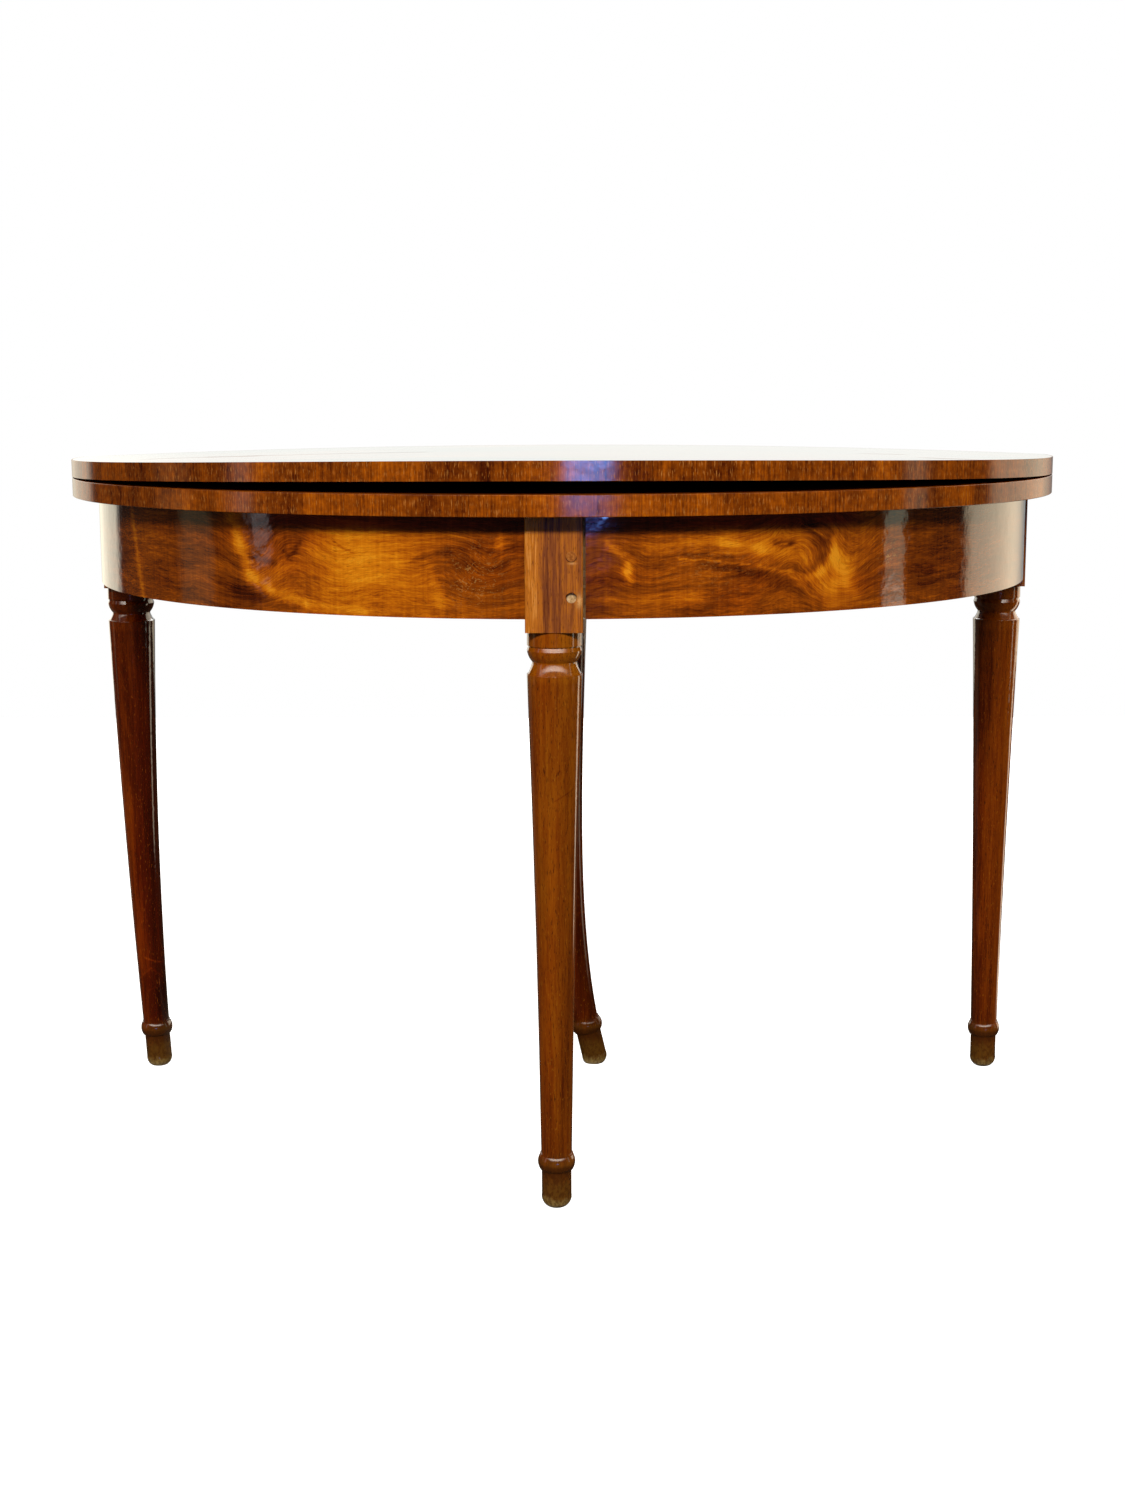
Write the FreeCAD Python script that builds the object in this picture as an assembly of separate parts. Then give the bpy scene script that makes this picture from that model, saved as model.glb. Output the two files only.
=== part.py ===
import FreeCAD, Part
import math
import os

from FreeCAD import Vector

# Leaves
leaf_radius = 575.0
back_corner_radius = 8.0
lower_leaf_thickness = 21.0
upper_leaf_thickness = 19.0
leaf_bow = 12.5
leaf_rest_gap = 0.3
veneer_thickness = 1.0
banding_thickness = 1.5
banding_seam = 0.3
banding_setback = 10.0
banding_arris = 0.8
lower_seam_shares = (0.455, 0.523, 0.557, 0.634)
upper_seam_shares = (0.552,)

# Turned legs, from the floor up
foot_height = 40.0
foot_diameter = 30.2
foot_flat_diameter = 16.0
foot_rounding = 13.0
foot_trim = 0.5
ring_height = 16.5
ring_diameter = 38.0
ring_step = 1.2
shaft_length = 489.6
ankle_diameter = 31.2
shaft_sink = 1.3
shoulder_diameter = 54.4
shoulder_rounding = 1.0
shoulder_step = 0.3
cove_height = 10.1
cove_sink = 0.4
fillet_height = 1.5
neck_diameter = 44.0
bead_height = 14.8
bead_diameter = 54.0
groove_height = 1.2
groove_diameter = 51.6
collar_height = 14.5
collar_diameter = 53.8
block_length = 112.0
block_width = 55.8
block_drop = 13.0
block_arris = 0.8

# The back legs and the gate's leg are turned a little higher than the front leg
rear_shoulder_rise = 4.3
rear_head_rise = 1.6

# Old bends in two of the legs: sideways drift at the floor and how late the bend sets in
left_leg_bend = 14.6
left_leg_bend_power = 2.2
gate_leg_bend = 38.0
gate_leg_bend_power = 4.0
bend_stations = 13

# Places of the legs
left_leg_end_inset = 62.8
right_leg_end_inset = 60.9
rear_leg_back_inset = 63.0
front_leg_x = -0.8
gate_leg_x = 2.0
front_block_proud = 2.0
left_block_inset = 1.0
right_block_proud = 2.6

# Apron: bricks laid in courses, faced with veneer
apron_overhang = 29.0
apron_thickness = 24.0
course_count = 3
outer_course_joint_shares = (0.31, 0.66)
inner_course_joint_shares = (0.16, 0.50, 0.84)
open_joint_gap = 2.5
glue_line = 0.05

# Joinery
tenon_thickness = 10.0
tenon_length = 22.0
tenon_shoulder = 8.0
joint_clearance = 0.2
peg_diameter = 9.5
peg_length = 28.0
peg_sink = 2.5
peg_clearance = 0.05
peg_past_tenon = 3.0
front_peg_inset = 11.2
front_peg_drops = (38.8, 78.8)

# Straight rails
back_rail_setback = 66.0
back_rail_thickness = 22.0
back_rail_height = 87.0
bearer_width = 30.0
bearer_height = 60.0
bearer_tenon_length = 12.0

# Swinging gate
gate_clearance = 1.0
gate_rail_thickness = 24.0
gate_rail_height = 74.0
gate_drop = 7.0
knuckle_count = 5
knuckle_gap = 0.3
knuckle_clearance = 0.4
gate_pin_diameter = 6.0
gate_pin_clearance = 0.06
gate_pin_grip = 0.02
hinge_block_length = 100.0
hinge_block_end_gap = 11.9

# Glue blocks under the fixed leaf
glue_block_depth = 20.0
glue_block_height = 20.0
glue_block_length = 60.0
glue_block_place_shares = (0.2, 0.5, 0.8)

# Leaf hinges
hinge_length = 50.0
hinge_end_inset = 45.0
hinge_axis_offset = 0.25
hinge_plate_thickness = 1.6
hinge_plate_height = 15.0
hinge_plate_sink = 0.2
hinge_recess_clearance = 0.2
hinge_barrel_diameter = 6.4
hinge_barrel_clearance = 0.4
hinge_pin_diameter = 2.4
hinge_pin_clearance = 0.05
hinge_knuckle_count = 3
hinge_knuckle_gap = 0.2

# Screws
small_head_diameter = 5.2
small_shank_diameter = 2.6
small_screw_length = 14.0
small_screw_drop = 9.0
small_screw_spacing = 30.0
large_head_diameter = 9.0
large_shank_diameter = 4.4
large_screw_length = 38.0
large_counterbore_diameter = 10.0
large_screw_grip = 24.0
screw_clearance = 0.05
screw_slot_width_share = 0.16
screw_slot_depth_share = 0.14
screw_slot_turns = (20.0, 75.0, 130.0, 160.0)
rail_screw_place_share = 0.4
bearer_screw_place_shares = (0.25, 0.75)
hinge_block_screw_place_shares = (0.2, 0.5, 0.8)

# Overrun of cutting shapes past the faces they cut
overrun = 30.0

# Levels
ring_level = foot_height
ring_middle = ring_level + ring_height / 2
ankle_level = ring_level + ring_height
shoulder_level = ankle_level + shaft_length
fillet_level = shoulder_level + cove_height
bead_level = fillet_level + fillet_height
groove_level = bead_level + bead_height
collar_level = groove_level + groove_height
block_level = collar_level + collar_height
frame_top = block_level + block_length
apron_bottom = block_level + block_drop
apron_height = frame_top - apron_bottom
leaf_level = frame_top + lower_leaf_thickness
upper_leaf_bottom = leaf_level + leaf_rest_gap
upper_leaf_top = upper_leaf_bottom + upper_leaf_thickness
hinge_axis_z = leaf_level + leaf_rest_gap / 2

# Places seen from above: the half circle is centred on the straight back edge
hinge_proud = hinge_axis_offset + hinge_barrel_diameter / 2
back_y = (leaf_radius - hinge_proud) / 2
hinge_axis_y = back_y + hinge_axis_offset
apron_radius = leaf_radius - apron_overhang
core_radius = apron_radius - veneer_thickness
core_inner_radius = core_radius - apron_thickness
core_middle_radius = (core_radius + core_inner_radius) / 2
rear_leg_x = {-1: left_leg_end_inset - leaf_radius, 1: leaf_radius - right_leg_end_inset}
rear_leg_y = back_y - rear_leg_back_inset
rear_block_front_y = rear_leg_y - block_width / 2
front_leg_y = back_y - apron_radius - front_block_proud + block_width / 2
back_rail_rear_y = back_y - back_rail_setback
back_rail_front_y = back_rail_rear_y - back_rail_thickness
gate_y = back_rail_rear_y + gate_clearance + gate_rail_thickness / 2
gate_top = frame_top - gate_drop
gate_bottom = gate_top - gate_rail_height
knuckle_radius = gate_rail_thickness / 2
knuckle_reach = knuckle_radius + knuckle_clearance
hinge_block_start = rear_leg_x[-1] + block_width / 2 + hinge_block_end_gap
hinge_block_end = hinge_block_start + hinge_block_length
gate_axis_x = hinge_block_end + knuckle_reach
gate_leg_face = gate_leg_x - block_width / 2
UP = Vector(0, 0, 1)
INWARD = Vector(0, -1, 0)
SMALL_SCREW = (small_head_diameter, small_shank_diameter, small_screw_length)
LARGE_SCREW = (large_head_diameter, large_shank_diameter, large_screw_length)


def box(x0, x1, y0, y1, z0, z1):
    """A block between two corners, given axis by axis."""
    return Part.makeBox(x1 - x0, y1 - y0, z1 - z0, Vector(x0, y0, z0))


def centred_box(x, y, width, depth, z0, z1):
    """An upright block centred on x, y."""
    return box(x - width / 2, x + width / 2, y - depth / 2, y + depth / 2, z0, z1)


def post(x, y, diameter, z0, z1):
    """An upright round post."""
    return Part.makeCylinder(diameter / 2, z1 - z0, Vector(x, y, z0), UP)


def fused(solids):
    """All the solids joined into one piece, without leftover seams."""
    whole = solids[0].multiFuse(solids[1:])
    return whole.removeSplitter()


def group(solids):
    """Separate solids kept together in one node."""
    return Part.makeCompound(solids)


def sector(radius, z0, z1, start, end):
    """A slice of a round slab about the half circle's centre, angles in degrees from +X."""
    centre = Vector(0, back_y, z0)
    piece = Part.makeCylinder(radius, z1 - z0, centre, UP, end - start)
    piece.rotate(centre, UP, start)
    return piece


def ring_sector(inner, outer, z0, z1, start, end):
    """A curved bar about the half circle's centre."""
    hole = post(0, back_y, 2 * inner, z0 - overrun, z1 + overrun)
    return sector(outer, z0, z1, start, end).cut(hole)


def upright_edges(solid):
    """The upright edges of a solid."""
    return [edge for edge in solid.Edges if abs(edge.tangentAt(edge.FirstParameter).dot(UP)) > 0.99]


def half_round(radius, z0, z1):
    """A half-round slab with its straight side on the back edge and softened back corners."""
    slab = sector(radius, z0, z1, 180, 360)
    corners = [edge for edge in upright_edges(slab) if abs(edge.Vertexes[0].X) > radius / 2]
    return slab.makeFillet(back_corner_radius, corners)


def wire_of(segments):
    """A wire from straight runs (two points), arcs (three) and slight curves (two ends, two handles)."""
    edges = []
    for points in segments:
        if len(points) == 2:
            edges.append(Part.LineSegment(*points).toShape())
        elif len(points) == 3:
            edges.append(Part.Arc(*points).toShape())
        else:
            curve = Part.BezierCurve()
            curve.setPoles(points)
            edges.append(curve.toShape())
    return Part.Wire(edges)


def turned(segments):
    """A turned solid about the Z axis from profile segments of (radius, height) points."""
    placed = [[Vector(radius, 0, height) for radius, height in points] for points in segments]
    face = Part.Face(wire_of(placed))
    return face.revolve(Vector(0, 0, 0), UP, 360)


def bow_height(x):
    """How far the bowed leaf stands above its two ends at x."""
    bow_radius = (leaf_radius ** 2 + leaf_bow ** 2) / (2 * leaf_bow)
    return leaf_bow - bow_radius + math.sqrt(bow_radius ** 2 - x ** 2)


def bowed_slab(z0, z1):
    """A slab that arches along X, running the whole depth of the leaf."""
    reach = leaf_radius + overrun
    front = back_y - leaf_radius - overrun
    spots = (-reach, 0, reach)
    low = [Vector(x, front, z0 + bow_height(x)) for x in spots]
    high = [Vector(x, front, z1 + bow_height(x)) for x in spots]
    outline = wire_of([low, (low[2], high[2]), (high[2], high[1], high[0]), (high[0], low[0])])
    return Part.Face(outline).extrude(Vector(0, leaf_radius + 2 * overrun, 0))


def seam_angles(shares):
    """Start and end angle of each length of edge banding, left end of the rim first."""
    margin = math.degrees(math.asin(banding_setback / leaf_radius))
    half_seam = math.degrees(banding_seam / leaf_radius) / 2
    sweep = 180 - 2 * margin
    cuts = [180 + margin + share * sweep for share in shares]
    starts = [180 + margin] + [cut + half_seam for cut in cuts]
    ends = [cut - half_seam for cut in cuts] + [360 - margin]
    return list(zip(starts, ends))


def banding_ring(z0, z1, start, end):
    """A length of the edge banding's ring."""
    return ring_sector(leaf_radius - banding_thickness, leaf_radius, z0, z1, start, end)


def rebated(slab, z0, z1):
    """A leaf's board with the rim cut back for its edge banding."""
    margin = math.degrees(math.asin(banding_setback / leaf_radius))
    inner = leaf_radius - banding_thickness - glue_line
    return slab.cut(ring_sector(inner, leaf_radius + overrun, z0, z1, 180 + margin, 360 - margin))


def screw(head_diameter, shank_diameter, length, growth):
    """A countersunk wood screw pointing up from the origin, or its hole where growth is not zero."""
    head = head_diameter / 2 + growth
    shank = shank_diameter / 2 + growth
    tip = length + growth
    neck = head - shank
    point = tip - shank
    return turned([
        [(0, 0), (head, 0)],
        [(head, 0), (shank, neck)],
        [(shank, neck), (shank, point)],
        [(shank, point), (0, tip)],
        [(0, tip), (0, 0)],
    ])


def slotted(piece, head_diameter, turn):
    """A screw with its slot turned by an angle in degrees."""
    width = screw_slot_width_share * head_diameter
    depth = screw_slot_depth_share * head_diameter
    slot = centred_box(0, 0, width, 2 * head_diameter, -depth, depth)
    slot.rotate(Vector(0, 0, 0), UP, turn)
    return piece.cut(slot)


def screw_hole(size, spot, direction):
    """The hole of a screw driven from a spot."""
    return aimed(screw(*size, screw_clearance), spot, direction)


def driven_screws(size, spots, direction):
    """Slotted screws at several spots, each driven home to its own angle."""
    screws = []
    for i, spot in enumerate(spots):
        turn = screw_slot_turns[i % len(screw_slot_turns)]
        piece = slotted(screw(*size, 0), size[0], turn)
        screws.append(aimed(piece, spot, direction))
    return group(screws)


def aimed(piece, spot, direction):
    """The piece turned from +Z to a direction and moved to a spot."""
    piece.Placement = FreeCAD.Placement(spot, FreeCAD.Rotation(UP, direction))
    return piece


# Leaf hinges: plates on the back faces, a barrel on the meeting line

def hinge_spans(side):
    """X ranges of the hinge's knuckles, first to last."""
    start = side * (leaf_radius - hinge_end_inset) - hinge_length / 2
    step = hinge_length / hinge_knuckle_count
    return [(start + i * step, start + (i + 1) * step) for i in range(hinge_knuckle_count)]


def hinge_bar(diameter, x0, x1):
    """A round bar on the hinge axis."""
    return Part.makeCylinder(diameter / 2, x1 - x0, Vector(x0, hinge_axis_y, hinge_axis_z), Vector(1, 0, 0))


def hinge_screw_places(side, level):
    """Heads of the two screws of a hinge plate."""
    middle = side * (leaf_radius - hinge_end_inset)
    y = back_y - hinge_plate_sink
    return [Vector(middle + end * small_screw_spacing / 2, y, level) for end in (-1, 1)]


def hinge_screw_level(upper):
    """Height of a plate's screws."""
    return hinge_axis_z + (small_screw_drop if upper else -small_screw_drop)


def hinge_plate_slab(side, upper, growth):
    """The flat of a hinge plate, or its recess where growth is not zero."""
    spans = hinge_spans(side)
    rear = back_y - hinge_plate_sink + (overrun if growth else 0)
    front = back_y - hinge_plate_sink - hinge_plate_thickness - growth
    reach = hinge_plate_height + growth
    low = hinge_axis_z if upper else hinge_axis_z - reach
    return box(spans[0][0] - growth, spans[-1][1] + growth, front, rear, low, low + reach)


def hinge_plate(side, upper):
    """A hinge plate with its knuckles, bored for the pin and the screws."""
    spans = hinge_spans(side)
    own = spans[1::2] if upper else spans[0::2]
    slab = hinge_plate_slab(side, upper, 0)
    wide = hinge_barrel_diameter + 2 * hinge_barrel_clearance
    pieces = [slab.cut(hinge_bar(wide, spans[0][0] - overrun, spans[-1][1] + overrun))]
    for x0, x1 in own:
        first = x0 + hinge_knuckle_gap / 2
        last = x1 - hinge_knuckle_gap / 2
        pieces.append(hinge_bar(hinge_barrel_diameter, first, last))
        low = slab.BoundBox
        pieces.append(box(first, last, low.YMin, low.YMax, low.ZMin, low.ZMax))
    plate = fused(pieces)
    bore = hinge_pin_diameter + 2 * hinge_pin_clearance
    plate = plate.cut(hinge_bar(bore, spans[0][0] - overrun, spans[-1][1] + overrun))
    for spot in hinge_screw_places(side, hinge_screw_level(upper)):
        plate = plate.cut(screw_hole(SMALL_SCREW, spot, INWARD))
    return plate


def hinge_pin(side):
    """The pin of a leaf hinge."""
    spans = hinge_spans(side)
    return hinge_bar(hinge_pin_diameter, spans[0][0], spans[-1][1])


def hinge_screws(upper):
    """The screws of both hinges' plates on one leaf."""
    level = hinge_screw_level(upper)
    spots = hinge_screw_places(-1, level) + hinge_screw_places(1, level)
    return driven_screws(SMALL_SCREW, spots, INWARD)


def hinge_recesses(upper):
    """What the hinges take out of one leaf: plate recesses, barrel notches and screw holes."""
    cuts = []
    wide = hinge_barrel_diameter + 2 * hinge_barrel_clearance
    for side in (-1, 1):
        spans = hinge_spans(side)
        cuts.append(hinge_plate_slab(side, upper, hinge_recess_clearance))
        room = hinge_barrel_clearance
        cuts.append(hinge_bar(wide, spans[0][0] - room, spans[-1][1] + room))
        for spot in hinge_screw_places(side, hinge_screw_level(upper)):
            cuts.append(screw_hole(SMALL_SCREW, spot, INWARD))
    return cuts


# Fixed leaf

def lower_leaf_piece(z0, z1):
    """A layer of the fixed leaf inside its edge banding."""
    layer = rebated(half_round(leaf_radius, z0, z1), z0 - overrun, z1 + overrun)
    return layer.cut(hinge_recesses(False))


def lower_leaf_core():
    """The fixed board, with pilot holes for the screws that hold it."""
    board = lower_leaf_piece(frame_top, leaf_level - veneer_thickness)
    return board.cut([screw_hole(LARGE_SCREW, spot, UP) for spot in top_screw_places()])


def lower_leaf_veneer():
    return lower_leaf_piece(leaf_level - veneer_thickness, leaf_level)


def lower_leaf_edge_banding():
    """The fixed leaf's edging in lengths, with softened arrises."""
    lengths = []
    for start, end in seam_angles(lower_seam_shares):
        length = banding_ring(frame_top, leaf_level, start, end)
        lengths.append(length.makeFillet(banding_arris, rim_edges(length)))
    return group(lengths)


def rim_edges(length):
    """The two outer edges that run along a length of banding."""
    found = []
    for edge in length.Edges:
        spot = edge.valueAt((edge.FirstParameter + edge.LastParameter) / 2)
        reach = math.hypot(spot.x, spot.y - back_y)
        if edge.Length > 2 * upper_leaf_thickness and reach > leaf_radius - banding_thickness / 2:
            found.append(edge)
    return found


# Folding leaf

def upper_leaf_piece(z0, z1):
    """A layer of the bowed leaf inside its edge banding."""
    top = z1 + leaf_bow + overrun
    plan = rebated(half_round(leaf_radius, z0 - overrun, top), z0 - 2 * overrun, top + overrun)
    return plan.common(bowed_slab(z0, z1)).cut(hinge_recesses(True))


def upper_leaf_core():
    return upper_leaf_piece(upper_leaf_bottom + veneer_thickness, upper_leaf_top - veneer_thickness)


def upper_leaf_top_veneer():
    return upper_leaf_piece(upper_leaf_top - veneer_thickness, upper_leaf_top)


def upper_leaf_inner_veneer():
    return upper_leaf_piece(upper_leaf_bottom, upper_leaf_bottom + veneer_thickness)


def upper_leaf_edge_banding():
    """The folding leaf's edging in lengths, bowed with it."""
    slab = bowed_slab(upper_leaf_bottom, upper_leaf_top)
    lengths = []
    for start, end in seam_angles(upper_seam_shares):
        ring = banding_ring(upper_leaf_bottom - overrun, upper_leaf_top + leaf_bow + overrun, start, end)
        lengths.append(ring.common(slab).Solids[0])
    return group(lengths)


# Legs

class Levels:
    """Heights of a leg's turnings above the shaft's foot."""

    def __init__(self, shoulder_rise, head_rise):
        self.shoulder = shoulder_level + shoulder_rise
        self.fillet = fillet_level + head_rise
        self.bead = bead_level + head_rise
        self.groove = groove_level + head_rise
        self.collar = collar_level + head_rise
        self.block = block_level + head_rise


FRONT_LEVELS = Levels(0, 0)
REAR_LEVELS = Levels(rear_shoulder_rise, rear_head_rise)


def foot_profile(reach):
    """Foot and ring, from the foot's tip to the ring's lip; reach lengthens the foot below the floor."""
    flat = foot_flat_diameter / 2
    foot = foot_diameter / 2
    lip = ankle_diameter / 2 + ring_step
    inner = (flat + foot) / 2 + (foot - flat) * (math.sqrt(2) - 1) / 2
    turn = foot_rounding * (1 - math.sqrt(2) / 2) - reach
    return [
        [(0, -reach), (flat, -reach)],
        [(flat, -reach), (inner, turn), (foot, foot_rounding - reach)],
        [(foot, foot_rounding - reach), (foot, ring_level)],
        [(foot, ring_level), (lip, ring_level)],
        [(lip, ring_level), (ring_diameter / 2, ring_middle), (lip, ankle_level - ring_step)],
        [(lip, ankle_level - ring_step), (lip, ankle_level)],
    ]


def shaft_radius(share):
    """Radius of the slightly hollow taper at a share of its length."""
    straight = ankle_diameter + share * (shoulder_diameter - ankle_diameter)
    return straight / 2 - 4 * shaft_sink * share * (1 - share)


def shaft_profile(levels):
    """The tapering shaft from the ring's lip to the step inside its rounded shoulder."""
    ankle = ankle_diameter / 2
    shoulder = shoulder_diameter / 2
    inset = shoulder_rounding * (1 - math.sqrt(2) / 2)
    turn = levels.shoulder - shoulder_rounding
    rim = shoulder - shoulder_rounding
    third = (turn - ankle_level) / 3
    low_handle = (2 * ankle + shoulder - 4 * shaft_sink) / 3
    high_handle = (ankle + 2 * shoulder - 4 * shaft_sink) / 3
    taper = [(ankle, ankle_level), (low_handle, ankle_level + third), (high_handle, turn - third), (shoulder, turn)]
    return [
        [(ankle + ring_step, ankle_level), (ankle, ankle_level)],
        taper,
        [(shoulder, turn), (shoulder - inset, levels.shoulder - inset), (rim, levels.shoulder)],
        [(rim, levels.shoulder), (rim - shoulder_step, levels.shoulder)],
    ]


def head_profile(levels):
    """Cove, bead and collar, from the shoulder to the block."""
    neck = neck_diameter / 2
    bead = bead_diameter / 2
    groove = groove_diameter / 2
    collar = collar_diameter / 2
    start = shoulder_diameter / 2 - shoulder_rounding - shoulder_step
    bead_crown = levels.groove - bead_height / 4
    bead_flank = (bead + neck) / 2 + (bead - neck) * (math.sqrt(2) - 1) / 2
    cove_middle = (start + neck) / 2 - cove_sink
    return [
        [(start, levels.shoulder), (cove_middle, (levels.shoulder + levels.fillet) / 2), (neck, levels.fillet)],
        [(neck, levels.fillet), (neck, levels.bead)],
        [(neck, levels.bead), (bead_flank, (levels.bead + bead_crown) / 2), (bead, bead_crown)],
        [(bead, bead_crown), (groove, levels.groove)],
        [(groove, levels.groove), (groove, levels.collar)],
        [(groove, levels.collar), (collar, levels.collar)],
        [(collar, levels.collar), (collar, levels.block)],
    ]


def closed_profile(segments, bottom, top):
    """A profile closed along the axis between two levels."""
    first = segments[0][0]
    last = segments[-1][-1]
    ends = [[last, (0, top)], [(0, top), (0, bottom)]]
    if first[0] > 0:
        ends.append([(0, bottom), first])
    return segments + ends


def straight_turning(levels):
    """A whole straight turned leg below its block."""
    outline = foot_profile(0) + shaft_profile(levels) + head_profile(levels)
    return turned(closed_profile(outline, 0, levels.block))


def bend_at(height, bend, power, levels):
    """Sideways drift of a bent leg's axis at a height."""
    return bend * max(0, 1 - height / levels.shoulder) ** power


def bent_shaft(bend, power, levels):
    """The tapering shaft along a bent axis, from inside the ring to its rounded shoulder."""
    circles = []
    for i in range(bend_stations):
        share = i / (bend_stations - 1)
        height = ring_middle + share * (levels.shoulder - ring_middle)
        taper = max(0, height - ankle_level) / (levels.shoulder - ankle_level)
        centre = Vector(bend_at(height, bend, power, levels), 0, height)
        circles.append(Part.Wire(Part.makeCircle(shaft_radius(taper), centre)))
    shaft = Part.makeLoft(circles, True, False)
    rim = [edge for edge in shaft.Edges if edge.BoundBox.ZMin > levels.shoulder - shoulder_rounding]
    return shaft.makeFillet(shoulder_rounding, rim)


def bent_turning(bend, power, levels):
    """A turned leg whose shaft has bent along +X, with its foot tilted to follow and cut level."""
    head = turned(closed_profile(head_profile(levels), levels.shoulder, levels.block))
    drift = bend_at(ankle_level, bend, power, levels)
    run = bend_at(0, bend, power, levels) - drift
    tilt = math.atan2(run, ankle_level)
    depth = ankle_level + math.sin(tilt) * foot_flat_diameter / 2 + foot_trim
    reach = depth / math.cos(tilt) - ankle_level
    foot = turned(closed_profile(foot_profile(reach), -reach, ankle_level))
    foot.rotate(Vector(0, 0, ankle_level), Vector(0, -1, 0), math.degrees(tilt))
    foot.translate(Vector(drift, 0, 0))
    wide = ring_diameter + bend + overrun
    low = centred_box(drift, 0, 2 * wide, 2 * wide, -overrun - foot_height, 0)
    return head.multiFuse([bent_shaft(bend, power, levels), foot]).cut(low)


def leg_block(x, y, bottom, top):
    """The square block at a leg's head, with softened upright arrises."""
    block = centred_box(x, y, block_width, block_width, bottom, top)
    return block.makeChamfer(block_arris, upright_edges(block))


def front_leg():
    """The front leg, mortised for both halves of the apron and the bearer, and bored for its pegs."""
    turning = straight_turning(FRONT_LEVELS)
    turning.translate(Vector(front_leg_x, front_leg_y, 0))
    leg = fused([turning, leg_block(front_leg_x, front_leg_y, FRONT_LEVELS.block, frame_top)])
    cuts = [apron_front_tenon(side, joint_clearance) for side in (-1, 1)]
    cuts.append(bearer_front_tenon(joint_clearance))
    cuts += [front_peg(drop, peg_clearance) for drop in front_peg_drops]
    return leg.cut(cuts)


def rear_leg(side, turning, proud):
    """A back leg, mortised for the apron and the back rail; its block is trimmed along the apron's sweep."""
    x = rear_leg_x[side]
    sweep = post(0, back_y, 2 * (apron_radius + proud), REAR_LEVELS.block, frame_top)
    block = leg_block(x, rear_leg_y, REAR_LEVELS.block, frame_top).common(sweep)
    turning.translate(Vector(x, rear_leg_y, 0))
    leg = fused([turning, block])
    return leg.cut([apron_rear_tenon(side, joint_clearance), back_rail_tenon(side, joint_clearance)])


def left_leg():
    return rear_leg(-1, bent_turning(left_leg_bend, left_leg_bend_power, REAR_LEVELS), -left_block_inset)


def right_leg():
    return rear_leg(1, straight_turning(REAR_LEVELS), right_block_proud)


def gate_leg():
    """The swinging leg: notched over the back rail and mortised for the gate rail."""
    turning = bent_turning(gate_leg_bend, gate_leg_bend_power, REAR_LEVELS)
    turning.translate(Vector(gate_leg_x, gate_y, 0))
    leg = fused([turning, leg_block(gate_leg_x, gate_y, REAR_LEVELS.block, gate_top)])
    notch_floor = frame_top - back_rail_height - gate_clearance
    notch = box(gate_leg_x - block_width, gate_leg_x + block_width, gate_y - block_width,
                back_rail_rear_y + gate_clearance, notch_floor, gate_top + overrun)
    return leg.cut([notch, gate_tenon(joint_clearance), gate_peg(peg_clearance)])


# Pegs

def front_peg(drop, growth):
    """A peg in the front leg's block; the lower one has sunk, and growth makes its hole."""
    face = front_leg_y - block_width / 2
    sink = peg_sink if drop == max(front_peg_drops) and not growth else 0
    start = Vector(front_leg_x + block_width / 2 - front_peg_inset, face + sink, frame_top - drop)
    return Part.makeCylinder(peg_diameter / 2 + growth, peg_length - sink + growth, start, Vector(0, 1, 0))


def front_leg_pegs():
    return group([front_peg(drop, 0) for drop in front_peg_drops])


def gate_peg(growth):
    """The peg through the gate rail's tenon, or its hole."""
    middle = (gate_top + gate_bottom) / 2
    start = Vector(gate_leg_face + tenon_length / 2, gate_y + block_width / 2, middle)
    length = block_width / 2 + tenon_thickness / 2 + peg_past_tenon + growth
    return Part.makeCylinder(peg_diameter / 2 + growth, length, start, INWARD)


# Apron

def apron_front_tenon(side, growth):
    """The tenon of one half of the apron into the front block, or its mortise."""
    y = back_y - core_middle_radius
    face = front_leg_x + side * block_width / 2
    x0, x1 = sorted((face, face - side * (tenon_length + growth)))
    half = tenon_thickness / 2 + growth
    z0 = apron_bottom + tenon_shoulder - growth
    return box(x0, x1, y - half, y + half, z0, frame_top - tenon_shoulder + growth)


def apron_rear_tenon(side, growth):
    """The tenon of one half of the apron into a back block, or its mortise."""
    depth = back_y - rear_block_front_y
    x = side * math.sqrt(core_middle_radius ** 2 - depth ** 2)
    half = tenon_thickness / 2 + growth
    z0 = apron_bottom + tenon_shoulder - growth
    end = rear_block_front_y + tenon_length + growth
    return box(x - half, x + half, rear_block_front_y, end, z0, frame_top - tenon_shoulder + growth)


def apron_field(side):
    """The space one half of the apron fills between the front block and its back block."""
    x0, x1 = sorted((front_leg_x + side * block_width / 2, side * leaf_radius))
    field = box(x0, x1, back_y - leaf_radius, rear_block_front_y, apron_bottom, frame_top)
    return field.cut(open_joint())


def open_joint():
    """The gap that has opened on the right of the front block, as deep as the tenon's face."""
    face = front_leg_x + block_width / 2
    depth = back_y - core_middle_radius - tenon_thickness / 2
    return box(face, face + open_joint_gap, back_y - leaf_radius, depth, apron_bottom, frame_top)


def half_angles(side):
    """Angles of one half of the apron, from the back leg to the front leg."""
    return (360, 270) if side > 0 else (180, 270)


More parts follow.
